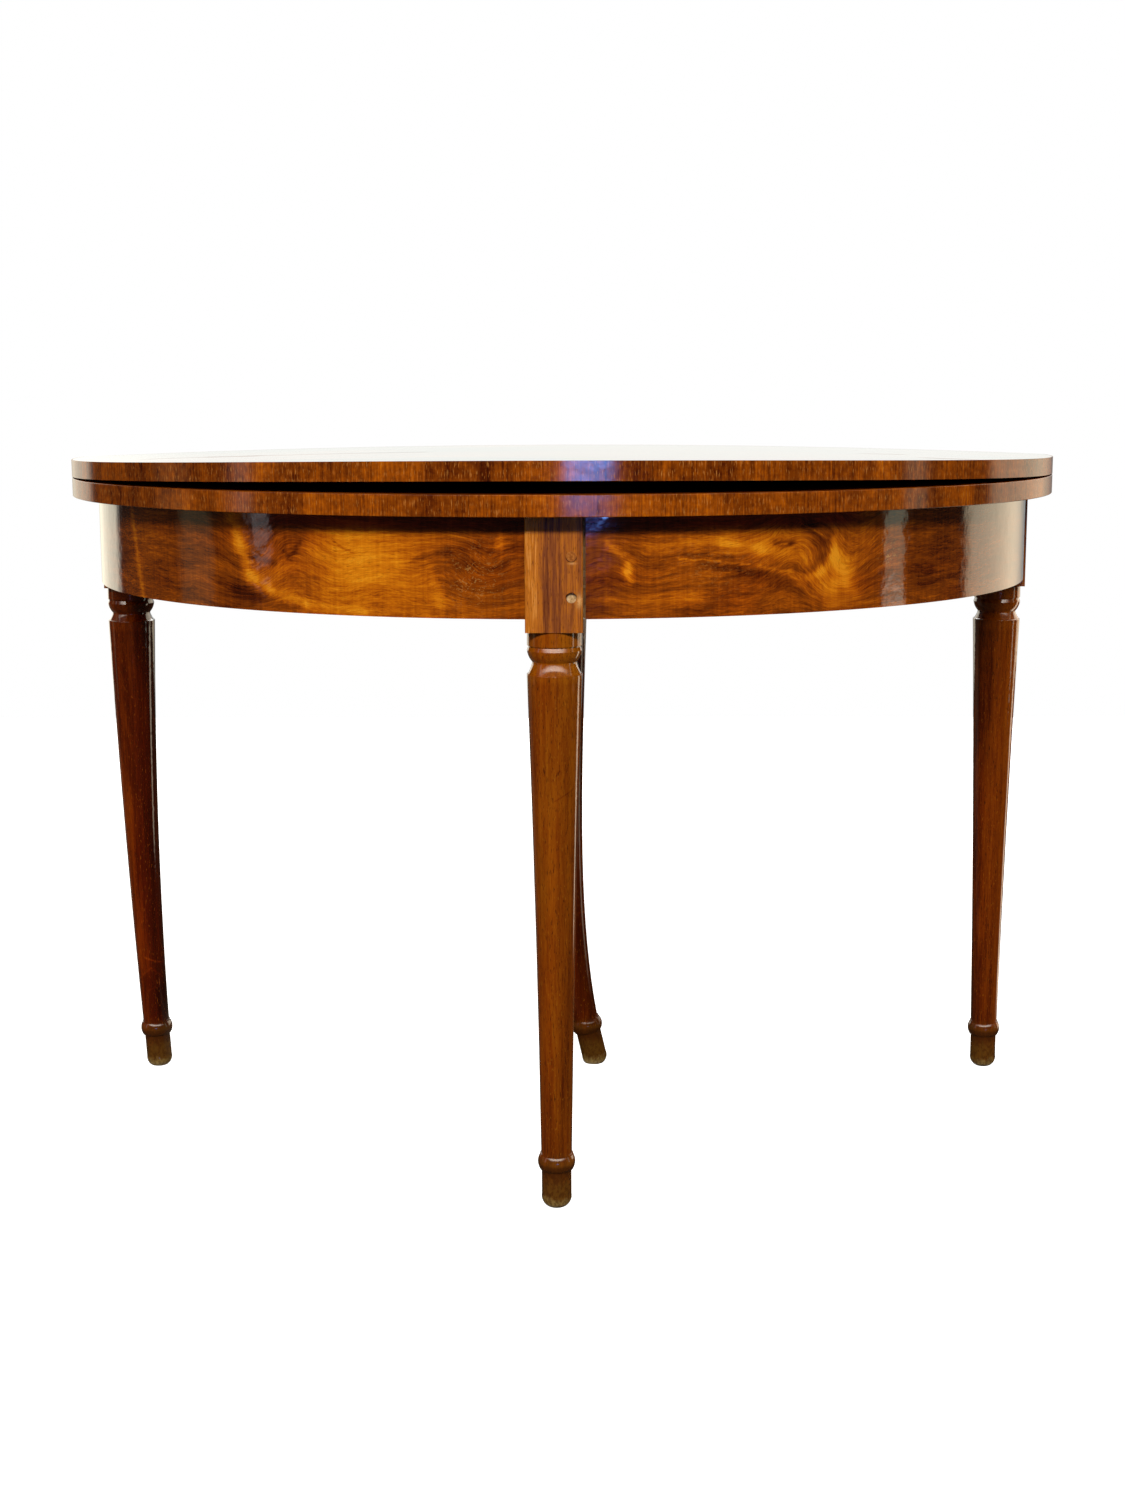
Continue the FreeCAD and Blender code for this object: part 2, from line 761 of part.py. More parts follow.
def apron_bricks(side):
    """Staggered courses of bricks; the end bricks carry the tenons."""
    rear, front = half_angles(side)
    field = apron_field(side)
    course = apron_height / course_count
    bricks = []
    for i in range(course_count):
        z0 = apron_bottom + i * course
        z1 = z0 + course
        level = box(-leaf_radius, leaf_radius, -leaf_radius, leaf_radius, z0, z1)
        shares = inner_course_joint_shares if i % 2 else outer_course_joint_shares
        stops = [0] + list(shares) + [1]
        peg_holes = [front_peg(drop, peg_clearance) for drop in front_peg_drops]
        pegged = apron_front_tenon(side, 0).cut(peg_holes)
        tenons = {0: apron_rear_tenon(side, 0), len(shares): pegged}
        for n in range(len(stops) - 1):
            start, end = sorted((rear + stops[n] * (front - rear), rear + stops[n + 1] * (front - rear)))
            brick = ring_sector(core_inner_radius, core_radius, z0, z1, start, end).common(field)
            if n in tenons:
                brick = fused([brick, tenons[n].common(level)])
            bricks.append(brick)
    return group(bricks)


def apron_veneer(side):
    """The face veneer of one half of the apron."""
    start, end = sorted(half_angles(side))
    sheet = ring_sector(core_radius + glue_line, apron_radius, apron_bottom, frame_top, start, end)
    return sheet.common(apron_field(side))


def glue_blocks():
    """Blocks in the corner between the apron's inside and the fixed leaf."""
    blocks = []
    outer = core_inner_radius - glue_line
    half = math.degrees(glue_block_length / outer) / 2
    for side in (-1, 1):
        rear, front = half_angles(side)
        for share in glue_block_place_shares:
            middle = rear + share * (front - rear)
            bottom = frame_top - glue_block_height
            inner = outer - glue_block_depth
            blocks.append(ring_sector(inner, outer, bottom, frame_top, middle - half, middle + half))
    return group(blocks)


# Straight rails

def back_rail_tenon(side, growth):
    """The back rail's tenon into a back block, or its mortise."""
    face = rear_leg_x[side] - side * block_width / 2
    x0, x1 = sorted((face, face + side * (tenon_length + growth)))
    y = (back_rail_rear_y + back_rail_front_y) / 2
    half = tenon_thickness / 2 + growth
    z0 = frame_top - back_rail_height + tenon_shoulder - growth
    return box(x0, x1, y - half, y + half, z0, frame_top - tenon_shoulder + growth)


def back_rail():
    """The rail between the back legs, bored for the screws of the leaf and of the gate's hinge block."""
    left = rear_leg_x[-1] + block_width / 2
    right = rear_leg_x[1] - block_width / 2
    bar = box(left, right, back_rail_front_y, back_rail_rear_y, frame_top - back_rail_height, frame_top)
    rail = fused([bar, back_rail_tenon(-1, 0), back_rail_tenon(1, 0)])
    cuts = [bearer_rear_tenon(joint_clearance)]
    cuts += [top_screw_hole(spot) for spot in rail_screw_places()]
    cuts += [screw_hole(LARGE_SCREW, spot, INWARD) for spot in hinge_block_screw_places()]
    return rail.cut(cuts)


def bearer_tenon(y0, y1, growth):
    """A tenon on the bearer's axis between two planes, or its mortise."""
    half = tenon_thickness / 2 + growth
    z0 = frame_top - bearer_height + tenon_shoulder - growth
    return box(front_leg_x - half, front_leg_x + half, y0, y1, z0, frame_top - tenon_shoulder + growth)


def bearer_front_tenon(growth):
    """The bearer's tenon into the front leg."""
    face = front_leg_y + block_width / 2
    return bearer_tenon(face - bearer_tenon_length - growth, face, growth)


def bearer_rear_tenon(growth):
    """The bearer's tenon into the back rail."""
    return bearer_tenon(back_rail_front_y, back_rail_front_y + bearer_tenon_length + growth, growth)


def centre_bearer():
    """The rail from the front leg to the back rail."""
    face = front_leg_y + block_width / 2
    middle = (face + back_rail_front_y) / 2
    run = back_rail_front_y - face
    bar = centred_box(front_leg_x, middle, bearer_width, run, frame_top - bearer_height, frame_top)
    bearer = fused([bar, bearer_front_tenon(0), bearer_rear_tenon(0)])
    return bearer.cut([top_screw_hole(spot) for spot in bearer_screw_places()])


def bearer_screw_places():
    """Heads of the screws through the bearer."""
    start = front_leg_y + block_width / 2
    run = back_rail_front_y - start
    z = frame_top - large_screw_grip
    return [Vector(front_leg_x, start + share * run, z) for share in bearer_screw_place_shares]


def rail_screw_places():
    """Heads of the screws through the back rail."""
    y = (back_rail_rear_y + back_rail_front_y) / 2
    z = frame_top - large_screw_grip
    return [Vector(rail_screw_place_share * rear_leg_x[side], y, z) for side in (-1, 1)]


def top_screw_places():
    return bearer_screw_places() + rail_screw_places()


def top_screw_hole(spot):
    """A screw's hole with the counterbore below its head."""
    bore = post(spot.x, spot.y, large_counterbore_diameter, apron_bottom - overrun, spot.z)
    return bore.fuse(screw_hole(LARGE_SCREW, spot, UP))


def top_screws():
    return driven_screws(LARGE_SCREW, top_screw_places(), UP)


# Gate

def knuckle_levels(first):
    """Bottom and top of every other knuckle, starting with the first or the second."""
    step = gate_rail_height / knuckle_count
    levels = [(gate_bottom + i * step, gate_bottom + (i + 1) * step) for i in range(knuckle_count)]
    return levels[first::2]


def knuckles(first, away):
    """Knuckles about the gate's axis with webs that run away from it along X (-1 or +1)."""
    pieces = []
    for z0, z1 in knuckle_levels(first):
        low = z0 + knuckle_gap / 2
        high = z1 - knuckle_gap / 2
        x0, x1 = sorted((gate_axis_x, gate_axis_x + away * knuckle_reach))
        pieces.append(post(gate_axis_x, gate_y, gate_rail_thickness, low, high))
        pieces.append(box(x0, x1, gate_y - knuckle_radius, gate_y + knuckle_radius, low, high))
    return pieces


def gate_hinge_block():
    """The fixed half of the wooden hinge, screwed to the back rail."""
    rear = gate_y + knuckle_radius
    body = box(hinge_block_start, hinge_block_end, back_rail_rear_y, rear, gate_bottom, gate_top)
    block = fused([body] + knuckles(0, -1))
    bore = gate_pin_diameter + 2 * gate_pin_grip
    cuts = [post(gate_axis_x, gate_y, bore, gate_bottom - overrun, gate_top + overrun)]
    cuts += [screw_hole(LARGE_SCREW, spot, INWARD) for spot in hinge_block_screw_places()]
    return block.cut(cuts)


def hinge_block_screw_places():
    """Heads of the screws on the hinge block's back face."""
    middle = (gate_top + gate_bottom) / 2
    y = gate_y + knuckle_radius
    places = [hinge_block_start + share * hinge_block_length for share in hinge_block_screw_place_shares]
    return [Vector(x, y, middle) for x in places]


def hinge_block_screws():
    return driven_screws(LARGE_SCREW, hinge_block_screw_places(), INWARD)


def gate_hinge_pin():
    return post(gate_axis_x, gate_y, gate_pin_diameter, gate_bottom, gate_top)


def gate_tenon(growth):
    """The gate rail's tenon into its leg, or its mortise."""
    half = tenon_thickness / 2 + growth
    return box(gate_leg_face, gate_leg_face + tenon_length + growth, gate_y - half, gate_y + half,
               gate_bottom + tenon_shoulder - growth, gate_top - tenon_shoulder + growth)


def gate_rail():
    """The swinging rail: knuckles at one end, a tenon into the gate leg at the other."""
    start = gate_axis_x + knuckle_reach
    front = gate_y - knuckle_radius
    rear = gate_y + knuckle_radius
    body = box(start, gate_leg_face, front, rear, gate_bottom, gate_top)
    rail = fused([body, gate_tenon(0)] + knuckles(1, 1))
    bore = gate_pin_diameter + 2 * gate_pin_clearance
    pin_hole = post(gate_axis_x, gate_y, bore, gate_bottom - overrun, gate_top + overrun)
    return rail.cut([pin_hole, gate_peg(peg_clearance)])


NODES = {
    "lower_leaf_core": lower_leaf_core,
    "lower_leaf_veneer": lower_leaf_veneer,
    "lower_leaf_edge_banding": lower_leaf_edge_banding,
    "upper_leaf_core": upper_leaf_core,
    "upper_leaf_top_veneer": upper_leaf_top_veneer,
    "upper_leaf_inner_veneer": upper_leaf_inner_veneer,
    "upper_leaf_edge_banding": upper_leaf_edge_banding,
    "apron_left_bricks": lambda: apron_bricks(-1),
    "apron_right_bricks": lambda: apron_bricks(1),
    "apron_left_veneer": lambda: apron_veneer(-1),
    "apron_right_veneer": lambda: apron_veneer(1),
    "front_leg": front_leg,
    "front_leg_pegs": front_leg_pegs,
    "left_leg": left_leg,
    "right_leg": right_leg,
    "back_rail": back_rail,
    "centre_bearer": centre_bearer,
    "glue_blocks": glue_blocks,
    "top_screws": top_screws,
    "gate_hinge_block": gate_hinge_block,
    "hinge_block_screws": hinge_block_screws,
    "gate_hinge_pin": gate_hinge_pin,
    "gate_rail": gate_rail,
    "gate_leg": gate_leg,
    "gate_leg_peg": lambda: gate_peg(0),
    "left_hinge_lower_plate": lambda: hinge_plate(-1, False),
    "left_hinge_upper_plate": lambda: hinge_plate(-1, True),
    "left_hinge_pin": lambda: hinge_pin(-1),
    "right_hinge_lower_plate": lambda: hinge_plate(1, False),
    "right_hinge_upper_plate": lambda: hinge_plate(1, True),
    "right_hinge_pin": lambda: hinge_pin(1),
    "lower_hinge_screws": lambda: hinge_screws(False),
    "upper_hinge_screws": lambda: hinge_screws(True),
}

os.makedirs("parts", exist_ok=True)
for name, make in NODES.items():
    shape = make()
    shape.exportStep("parts/" + name + ".step")
    print(name, len(shape.Solids), "solids, valid:", shape.isValid())
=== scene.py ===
import math

import bpy
from mathutils import Matrix, Vector

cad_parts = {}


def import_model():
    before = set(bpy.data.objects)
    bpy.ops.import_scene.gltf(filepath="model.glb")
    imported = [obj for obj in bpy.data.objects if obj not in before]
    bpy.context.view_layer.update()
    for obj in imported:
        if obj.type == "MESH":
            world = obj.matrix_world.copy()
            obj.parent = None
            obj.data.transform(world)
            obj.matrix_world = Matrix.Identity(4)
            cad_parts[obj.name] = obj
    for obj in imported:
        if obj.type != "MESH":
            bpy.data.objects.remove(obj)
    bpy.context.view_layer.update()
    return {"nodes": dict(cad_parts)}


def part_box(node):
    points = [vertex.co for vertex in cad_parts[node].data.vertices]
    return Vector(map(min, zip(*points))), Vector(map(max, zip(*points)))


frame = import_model()
nodes = frame["nodes"]

# Camera, in metres and radians, as worked out from the photograph
CAMERA_PLACE = Vector((0.0356, -2.278, 0.8188))
CAMERA_PITCH = 0.1691
CAMERA_YAW = 0.0142
CAMERA_ROLL = -0.0034
FOCAL_PX = 2114.5
IMAGE_HEIGHT_PX = 1500
SENSOR_MM = 36.0

# Places on the table, in metres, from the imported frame
BACK_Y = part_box("lower_leaf_core")[1].y
LEAF_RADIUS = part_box("lower_leaf_core")[1].x
APRON_LOW, APRON_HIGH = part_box("apron_right_veneer")
APRON_RADIUS = math.hypot(APRON_LOW.x, BACK_Y - APRON_LOW.y)
APRON_MIDDLE = (APRON_LOW.z + APRON_HIGH.z) / 2
PEG_LOW, PEG_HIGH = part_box("front_leg_pegs")
PEG_RADIUS = (PEG_HIGH.x - PEG_LOW.x) / 2
PEG_X = (PEG_HIGH.x + PEG_LOW.x) / 2
UPPER_PEG_Z = PEG_HIGH.z - PEG_RADIUS
LOWER_PEG_Z = PEG_LOW.z + PEG_RADIUS
BLOCK_LENGTH = 0.112


class Graph:
    """A node tree being built: each method adds a node and returns its output socket."""

    def __init__(self, tree):
        self.tree = tree
        tree.nodes.clear()

    def node(self, kind, inputs, **settings):
        made = self.tree.nodes.new(kind)
        for name, value in settings.items():
            setattr(made, name, value)
        for key, value in inputs.items():
            self.feed(made.inputs[key], value)
        return made

    def feed(self, socket, value):
        if isinstance(value, bpy.types.NodeSocket):
            self.tree.links.new(value, socket)
        else:
            socket.default_value = value

    def math(self, operation, a, b=0.0, c=0.0):
        return self.node("ShaderNodeMath", {0: a, 1: b, 2: c}, operation=operation).outputs[0]

    def add(self, *terms):
        total = terms[0]
        for term in terms[1:]:
            total = self.math("ADD", total, term)
        return total

    def times(self, a, b):
        return self.math("MULTIPLY", a, b)

    def swing(self, value, amount):
        """A noise value turned into a change of -amount/2 to +amount/2."""
        return self.math("MULTIPLY_ADD", value, amount, -amount / 2)

    def point(self, x, y, z):
        return self.node("ShaderNodeCombineXYZ", {0: x, 1: y, 2: z}).outputs[0]

    def parts(self, vector):
        return self.node("ShaderNodeSeparateXYZ", {0: vector}).outputs

    def scaled(self, vector, factors):
        return self.node("ShaderNodeVectorMath", {0: vector, 1: factors}, operation="MULTIPLY").outputs[0]

    def place(self):
        return self.node("ShaderNodeTexCoord", {}).outputs["Object"]

    def noise(self, vector, factors, detail=2.0, roughness=0.5, distortion=0.0):
        """Noise from 0 to 1, with about as many features per metre along each axis as factors says."""
        inputs = {"Vector": self.scaled(vector, factors), "Scale": 1.0, "Detail": detail,
                  "Roughness": roughness, "Distortion": distortion}
        return self.node("ShaderNodeTexNoise", inputs).outputs["Fac"]

    def step(self, value, low, high):
        """Smooth rise from 0 at low to 1 at high."""
        inputs = {"Value": value, "From Min": low, "From Max": high}
        return self.node("ShaderNodeMapRange", inputs, interpolation_type="SMOOTHSTEP").outputs[0]

    def between(self, value, rise, fall):
        """1 between a rise and a fall, each given by its two ends."""
        return self.times(self.step(value, *rise), self.step(value, *fall))

    def hump(self, value, middle, width):
        """A soft hump: 1 in the middle, fading over the width."""
        away = self.math("DIVIDE", self.math("SUBTRACT", value, middle), width)
        return self.math("EXPONENT", self.times(self.times(away, away), -1.0))

    def moved(self, vector, shift):
        return self.node("ShaderNodeVectorMath", {0: vector, 1: shift}, operation="ADD").outputs[0]

    def away(self, vector, centre):
        """How far a place lies from a centre."""
        inputs = {0: vector, 1: centre}
        return self.node("ShaderNodeVectorMath", inputs, operation="DISTANCE").outputs["Value"]

    def blob(self, along, height, middle, size):
        """A soft oval spot on a surface."""
        return self.times(self.hump(along, middle[0], size[0]), self.hump(height, middle[1], size[1]))

    def stroke(self, spot, start, end, width):
        """A soft straight stroke on a surface, between two places given as (along, height)."""
        run = Vector((end[0] - start[0], end[1] - start[1], 0.0))
        reach = self.moved(spot, (-start[0], -start[1], 0.0))
        inputs = {0: reach, 1: run / run.length_squared}
        along = self.node("ShaderNodeVectorMath", inputs, operation="DOT_PRODUCT").outputs["Value"]
        share = self.node("ShaderNodeClamp", {0: along}).outputs[0]
        return self.hump(self.away(reach, self.tint(run, share)), 0.0, width)

    def tint(self, vector, factor):
        return self.node("ShaderNodeVectorMath", {0: vector, "Scale": factor}, operation="SCALE").outputs[0]

    def ramp(self, value, stops, interpolation="LINEAR"):
        """A colour that goes through (position, colour) stops."""
        ramp = self.node("ShaderNodeValToRGB", {0: value})
        ramp.color_ramp.interpolation = interpolation
        elements = ramp.color_ramp.elements
        while len(elements) < len(stops):
            elements.new(0.5)
        for element, (position, colour) in zip(elements, stops):
            element.position = position
            element.color = (*colour, 1.0)
        return ramp.outputs["Color"]

    def profile(self, value, stops, reach):
        """A smooth grey curve through (place, level) stops up to a reach."""
        greys = [(place / reach, (level, level, level)) for place, level in stops]
        grey = self.ramp(self.math("DIVIDE", value, reach), greys, "EASE")
        return self.node("ShaderNodeRGBToBW", {0: grey}).outputs[0]

    def blend(self, factor, a, b, kind="MIX"):
        inputs = {0: factor, 6: a, 7: b}
        return self.node("ShaderNodeMix", inputs, data_type="RGBA", blend_type=kind).outputs[2]

    def swirl(self, vector, centre, radius, turn):
        """The surface coordinates twisted round a centre, as grain twists round a crotch."""
        share = self.hump(self.away(vector, centre), 0.0, radius)
        inputs = {"Vector": vector, "Center": centre, "Angle": self.times(share, turn)}
        return self.node("ShaderNodeVectorRotate", inputs, rotation_type="Z_AXIS").outputs[0]

    def bump(self, height, distance):
        inputs = {"Height": height, "Distance": distance, "Strength": 1.0}
        return self.node("ShaderNodeBump", inputs).outputs[0]

    def finish(self, surface):
        target = self.node("ShaderNodeOutputMaterial", {})
        self.tree.links.new(surface, target.inputs["Surface"])


def rgb(*values):
    """A colour for a node socket, from linear red, green and blue."""
    return (*values, 1.0)


def new_material(name):
    material = bpy.data.materials.new(name)
    material.use_nodes = True
    return material, Graph(material.node_tree)


RIPPLES_PER_METRE = 40.0
PORE_DEPTH = 0.00005
ROUGHNESS_SWING, LEAST_ROUGHNESS = 0.15, 0.3


def polished(graph, colour, roughness, grain, grain_depth, coat_roughness, coat=1.0, ripple_depth=0.0001):
    """A polished wooden surface: pores under a clear coat that is not quite flat."""
    ripple = graph.noise(graph.place(), (RIPPLES_PER_METRE,) * 3, 3.0)
    shader = graph.node("ShaderNodeBsdfPrincipled", {
        "Base Color": colour,
        "Roughness": roughness,
        "Specular IOR Level": 0.0,
        "Coat Weight": coat,
        "Coat Roughness": coat_roughness,
        "Normal": graph.bump(grain, grain_depth),
        "Coat Normal": graph.bump(ripple, ripple_depth),
    })
    graph.finish(shader.outputs[0])


def curved_place(graph, radius):
    """Signed arc length from the front, and height, on an upright face of the half circle."""
    x, y, z = graph.parts(graph.place())
    angle = graph.math("ARCTAN2", x, graph.math("SUBTRACT", BACK_Y, y))
    return graph.times(angle, radius), z


# Flame veneer of the apron. Distances are metres from the middle of the front along one half.
APRON_REACH = 0.78
FLAME_COLOURS = (
    (0.00, (0.012, 0.0014, 0.0003)),
    (0.20, (0.055, 0.0078, 0.0006)),
    (0.40, (0.148, 0.0300, 0.0012)),
    (0.55, (0.262, 0.0550, 0.0014)),
    (0.72, (0.430, 0.1080, 0.0020)),
    (0.88, (0.560, 0.1750, 0.0036)),
    (1.00, (0.640, 0.2350, 0.0080)),
)
# Dark colour of pores, chips and dirt, also used for painted shade under the legs' rings
PORE_AND_SHADE_COLOUR = rgb(0.03, 0.006, 0.001)
SCUFF_COLOUR = rgb(0.42, 0.21, 0.05)
WORN_COLOUR = rgb(0.10, 0.055, 0.03)
BLUSH_TINT = rgb(1.0, 0.72, 0.45)
# Painted shade of the leaf on the apron, a red-dark strip under the leaf: where it sets in by height, and where it
# ends along the apron
UNDER_LEAF_SHADE_RISE = (0.031, 0.040)
UNDER_LEAF_SHADE_END = (0.30, 0.34)
UNDER_LEAF_SHADE_TINT = rgb(0.55, 0.22, 0.60)
# How far the figure wanders and frays, in metres, and how strongly its parts change the tone
FIGURE_DRIFT, FIGURE_RISE = 0.018, 0.012
FRAY_ALONG, FRAY_UP = 0.016, 0.010
BROAD_SWING, STREAK_SWING, FEATHER_SWING, CROSS_SWING = 0.62, 0.92, 0.56, 0.26
# Ground tone of the two halves, as (distance, level)
LEFT_TONE = (
    (0.03, 0.39), (0.062, 0.41), (0.09, 0.48), (0.121, 0.56), (0.16, 0.66), (0.204, 0.69), (0.245, 0.67),
    (0.286, 0.61), (0.326, 0.53), (0.343, 0.38), (0.43, 0.41), (0.50, 0.43), (0.55, 0.38), (0.62, 0.34),
)
RIGHT_TONE = (
    (0.03, 0.36), (0.05, 0.39), (0.09, 0.45), (0.14, 0.52), (0.19, 0.55), (0.23, 0.56), (0.265, 0.53),
    (0.295, 0.56), (0.322, 0.50), (0.34, 0.46), (0.375, 0.43), (0.40, 0.34), (0.46, 0.34), (0.60, 0.32),
)


def flame_material(name, side, tone, lean, swirls, strokes, scuffs, seed):
    """Flame-figured veneer on one half of the apron."""
    material, graph = new_material(name)
    arc, z = curved_place(graph, APRON_RADIUS)
    along = graph.times(arc, side)
    height = graph.math("SUBTRACT", z, APRON_MIDDLE)
    flat = graph.point(along, height, seed)
    drift = graph.swing(graph.noise(flat, (16.0, 34.0, 1.0), 4.0, 0.6), FIGURE_DRIFT)
    rise = graph.swing(graph.noise(flat, (13.0, 26.0, 2.0), 4.0, 0.6), FIGURE_RISE)
    figure = graph.point(graph.add(along, drift), graph.add(height, rise), seed)
    for centre, radius, turn in swirls:
        figure = graph.swirl(figure, (*centre, seed), radius, turn)
    fray = graph.swing(graph.noise(figure, (40.0, 210.0, 1.0), 4.0, 0.7), FRAY_ALONG)
    ragged = graph.swing(graph.noise(figure, (50.0, 170.0, 2.0), 4.0, 0.7), FRAY_UP)
    frayed = graph.point(graph.add(along, fray), graph.add(height, ragged), 0.0)
    slant = graph.math("MULTIPLY_ADD", height, lean, graph.add(along, fray))
    level = graph.profile(slant, tone, APRON_REACH)
    for start, end, width, strength in strokes:
        level = graph.math("MULTIPLY_ADD", graph.stroke(frayed, start, end, width), strength, level)
    broad = graph.noise(figure, (7.0, 30.0, 1.0), 5.0, 0.62, 0.4)
    streak = graph.noise(figure, (18.0, 170.0, 1.0), 5.0, 0.7, 0.3)
    feather = graph.noise(figure, (90.0, 760.0, 1.0), 3.0, 0.65)
    cross = graph.noise(flat, (300.0, 14.0, 1.0), 3.0, 0.6)
    level = graph.add(level, graph.swing(broad, BROAD_SWING), graph.swing(streak, STREAK_SWING),
                      graph.swing(feather, FEATHER_SWING), graph.swing(cross, CROSS_SWING))
    colour = graph.ramp(level, FLAME_COLOURS)
    blush = graph.step(graph.noise(flat, (9.0, 22.0, 3.0), 3.0), 0.45, 0.7)
    colour = graph.blend(graph.times(blush, 0.4), colour, BLUSH_TINT, "MULTIPLY")
    # Painted shade: the top of the apron under the leaf's overhang is darkened and reddened
    before_end = graph.math("SUBTRACT", 1.0, graph.step(along, *UNDER_LEAF_SHADE_END))
    under_leaf_shade = graph.times(graph.step(height, *UNDER_LEAF_SHADE_RISE), before_end)
    colour = graph.blend(under_leaf_shade, colour, UNDER_LEAF_SHADE_TINT, "MULTIPLY")
    pores = graph.noise(figure, (130.0, 2400.0, 1.0), 1.0)
    colour = graph.blend(graph.times(graph.step(pores, 0.60, 0.72), 0.7), colour, PORE_AND_SHADE_COLOUR)
    scratch = graph.step(graph.noise(flat, (230.0, 300.0, 5.0), 2.0, 0.5, 1.5), 0.58, 0.64)
    for middle, size, strength in scuffs:
        spread = graph.times(graph.blob(along, height, middle, size), strength)
        colour = graph.blend(graph.times(scratch, spread), colour, SCUFF_COLOUR)
    roughness = graph.math("MULTIPLY_ADD", broad, ROUGHNESS_SWING, LEAST_ROUGHNESS)
    polished(graph, colour, roughness, pores, PORE_DEPTH, coat_roughness=0.06, ripple_depth=0.0003)
    return material


BANDING_TONE = 0.43
BANDING_FLECK = rgb(0.38, 0.14, 0.026)


def banding_material(name, seed, chips):
    """Cross-grain edging: short upright fibres, each length with its own tone, with a few chips."""
    material, graph = new_material(name)
    arc, z = curved_place(graph, LEAF_RADIUS)
    flat = graph.point(arc, z, seed)
    broad = graph.noise(flat, (22.0, 5.0, 1.0), 4.0, 0.6)
    fibre = graph.noise(flat, (420.0, 14.0, 1.0), 4.0, 0.7)
    mottle = graph.noise(flat, (130.0, 130.0, 1.0), 4.0, 0.6)
    fleck = graph.noise(flat, (1100.0, 110.0, 1.0), 2.0)
    island = graph.node("ShaderNodeNewGeometry", {}).outputs["Random Per Island"]
    level = graph.add(BANDING_TONE, graph.swing(broad, 1.00), graph.swing(fibre, 0.85),
                      graph.swing(mottle, 0.55), graph.swing(island, 0.10))
    colour = graph.ramp(level, FLAME_COLOURS)
    colour = graph.blend(graph.times(graph.step(fleck, 0.58, 0.70), 0.8), colour, BANDING_FLECK)
    for place, size in chips:
        colour = graph.blend(graph.blob(arc, z, place, size), colour, PORE_AND_SHADE_COLOUR)
    roughness = graph.math("MULTIPLY_ADD", fibre, 0.2, LEAST_ROUGHNESS)
    polished(graph, colour, roughness, fibre, grain_depth=0.00012, coat_roughness=0.10, coat=0.6)
    return material


def leaf_material(name, seed, brightness, coat_roughness, coat=1.0, marks=()):
    """Mahogany veneer of a leaf, grain along X with a broad figure; marks are worn lines in the polish."""
    material, graph = new_material(name)
    x, y, _ = graph.parts(graph.place())
    flat = graph.point(x, y, seed)
    broad = graph.noise(flat, (2.2, 9.0, 1.0), 3.0, 0.55, 0.8)
    streak = graph.noise(flat, (5.0, 90.0, 1.0), 4.0, 0.6, 0.4)
    fine = graph.noise(flat, (20.0, 700.0, 1.0), 3.0, 0.6)
    pores = graph.noise(flat, (90.0, 2200.0, 1.0), 1.0)
    level = graph.add(brightness, graph.swing(broad, 0.8), graph.swing(streak, 0.6), graph.swing(fine, 0.3))
    colour = graph.ramp(level, FLAME_COLOURS)
    colour = graph.blend(graph.step(pores, 0.62, 0.72), colour, PORE_AND_SHADE_COLOUR)
    for start, end, width, strength in marks:
        worn = graph.times(graph.stroke(graph.point(x, y, 0.0), start, end, width), strength)
        colour = graph.blend(worn, colour, WORN_COLOUR)
        coat = graph.math("SUBTRACT", coat, worn)
    roughness = graph.math("MULTIPLY_ADD", streak, ROUGHNESS_SWING, LEAST_ROUGHNESS)
    polished(graph, colour, roughness, pores, PORE_DEPTH, coat_roughness, coat)
    return material


LEG_COLOURS = (
    (0.00, (0.012, 0.0014, 0.0003)),
    (0.30, (0.062, 0.0085, 0.0006)),
    (0.50, (0.165, 0.0345, 0.0012)),
    (0.70, (0.260, 0.0700, 0.0026)),
    (0.85, (0.380, 0.1200, 0.0080)),
    (1.00, (0.520, 0.2100, 0.0300)),
)
BLOCK_COLOURS = (
    (0.00, (0.050, 0.0100, 0.0020)),
    (0.35, (0.170, 0.0440, 0.0080)),
    (0.60, (0.300, 0.0850, 0.0080)),
    (0.82, (0.430, 0.1280, 0.0070)),
    (1.00, (0.560, 0.2300, 0.0400)),
)
# Tone across a block's face, as (share of the width, level)
BLOCK_TONE = (
    (0.0, 0.74), (0.15, 0.80), (0.30, 0.78), (0.37, 0.48), (0.58, 0.44), (0.66, 0.58), (0.88, 0.62), (1.0, 0.52),
)
LEG_BLUSH_TINT = rgb(1.0, 0.70, 0.50)
LEG_FLECK = rgb(0.30, 0.10, 0.008)
FOOT_COLOUR = rgb(0.092, 0.040, 0.0052)
# Pale tip: wear, made paler as painted bounce light from the floor
TIP_WEAR_AND_BOUNCE_COLOUR = rgb(0.400, 0.270, 0.085)
CHIP_COLOUR = rgb(0.600, 0.310, 0.095)
# Dark of the peg joints, and painted shade in the lower peg's recess
SEAM_AND_RECESS_SHADE_COLOUR = rgb(0.012, 0.003, 0.001)
# Pale sole rim: wear and a painted highlight
SOLE_WEAR_AND_HIGHLIGHT_COLOUR = rgb(0.36, 0.27, 0.14)
# Grain up the leg: how far it is drawn out, and how strongly its parts change the tone of the turning and the block
GRAIN_STRETCH = 0.06
LEG_BROAD, LEG_STREAK, LEG_FINE = 0.80, 0.50, 0.32
BLOCK_BROAD, BLOCK_STREAK, BLOCK_FINE = 0.30, 1.50, 1.10
BLOCK_WAVE = 0.12
HEAD_TONE, LOW_TONE = 0.08, -0.05
# The polish, and how much rougher and thinner it is on the block
LEG_PORE_DEPTH = 0.00006
LEG_COAT_ROUGHNESS, BLOCK_ROUGHER, BLOCK_THINNER = 0.08, 0.20, 0.86
FOOT_RAGGED = 0.020
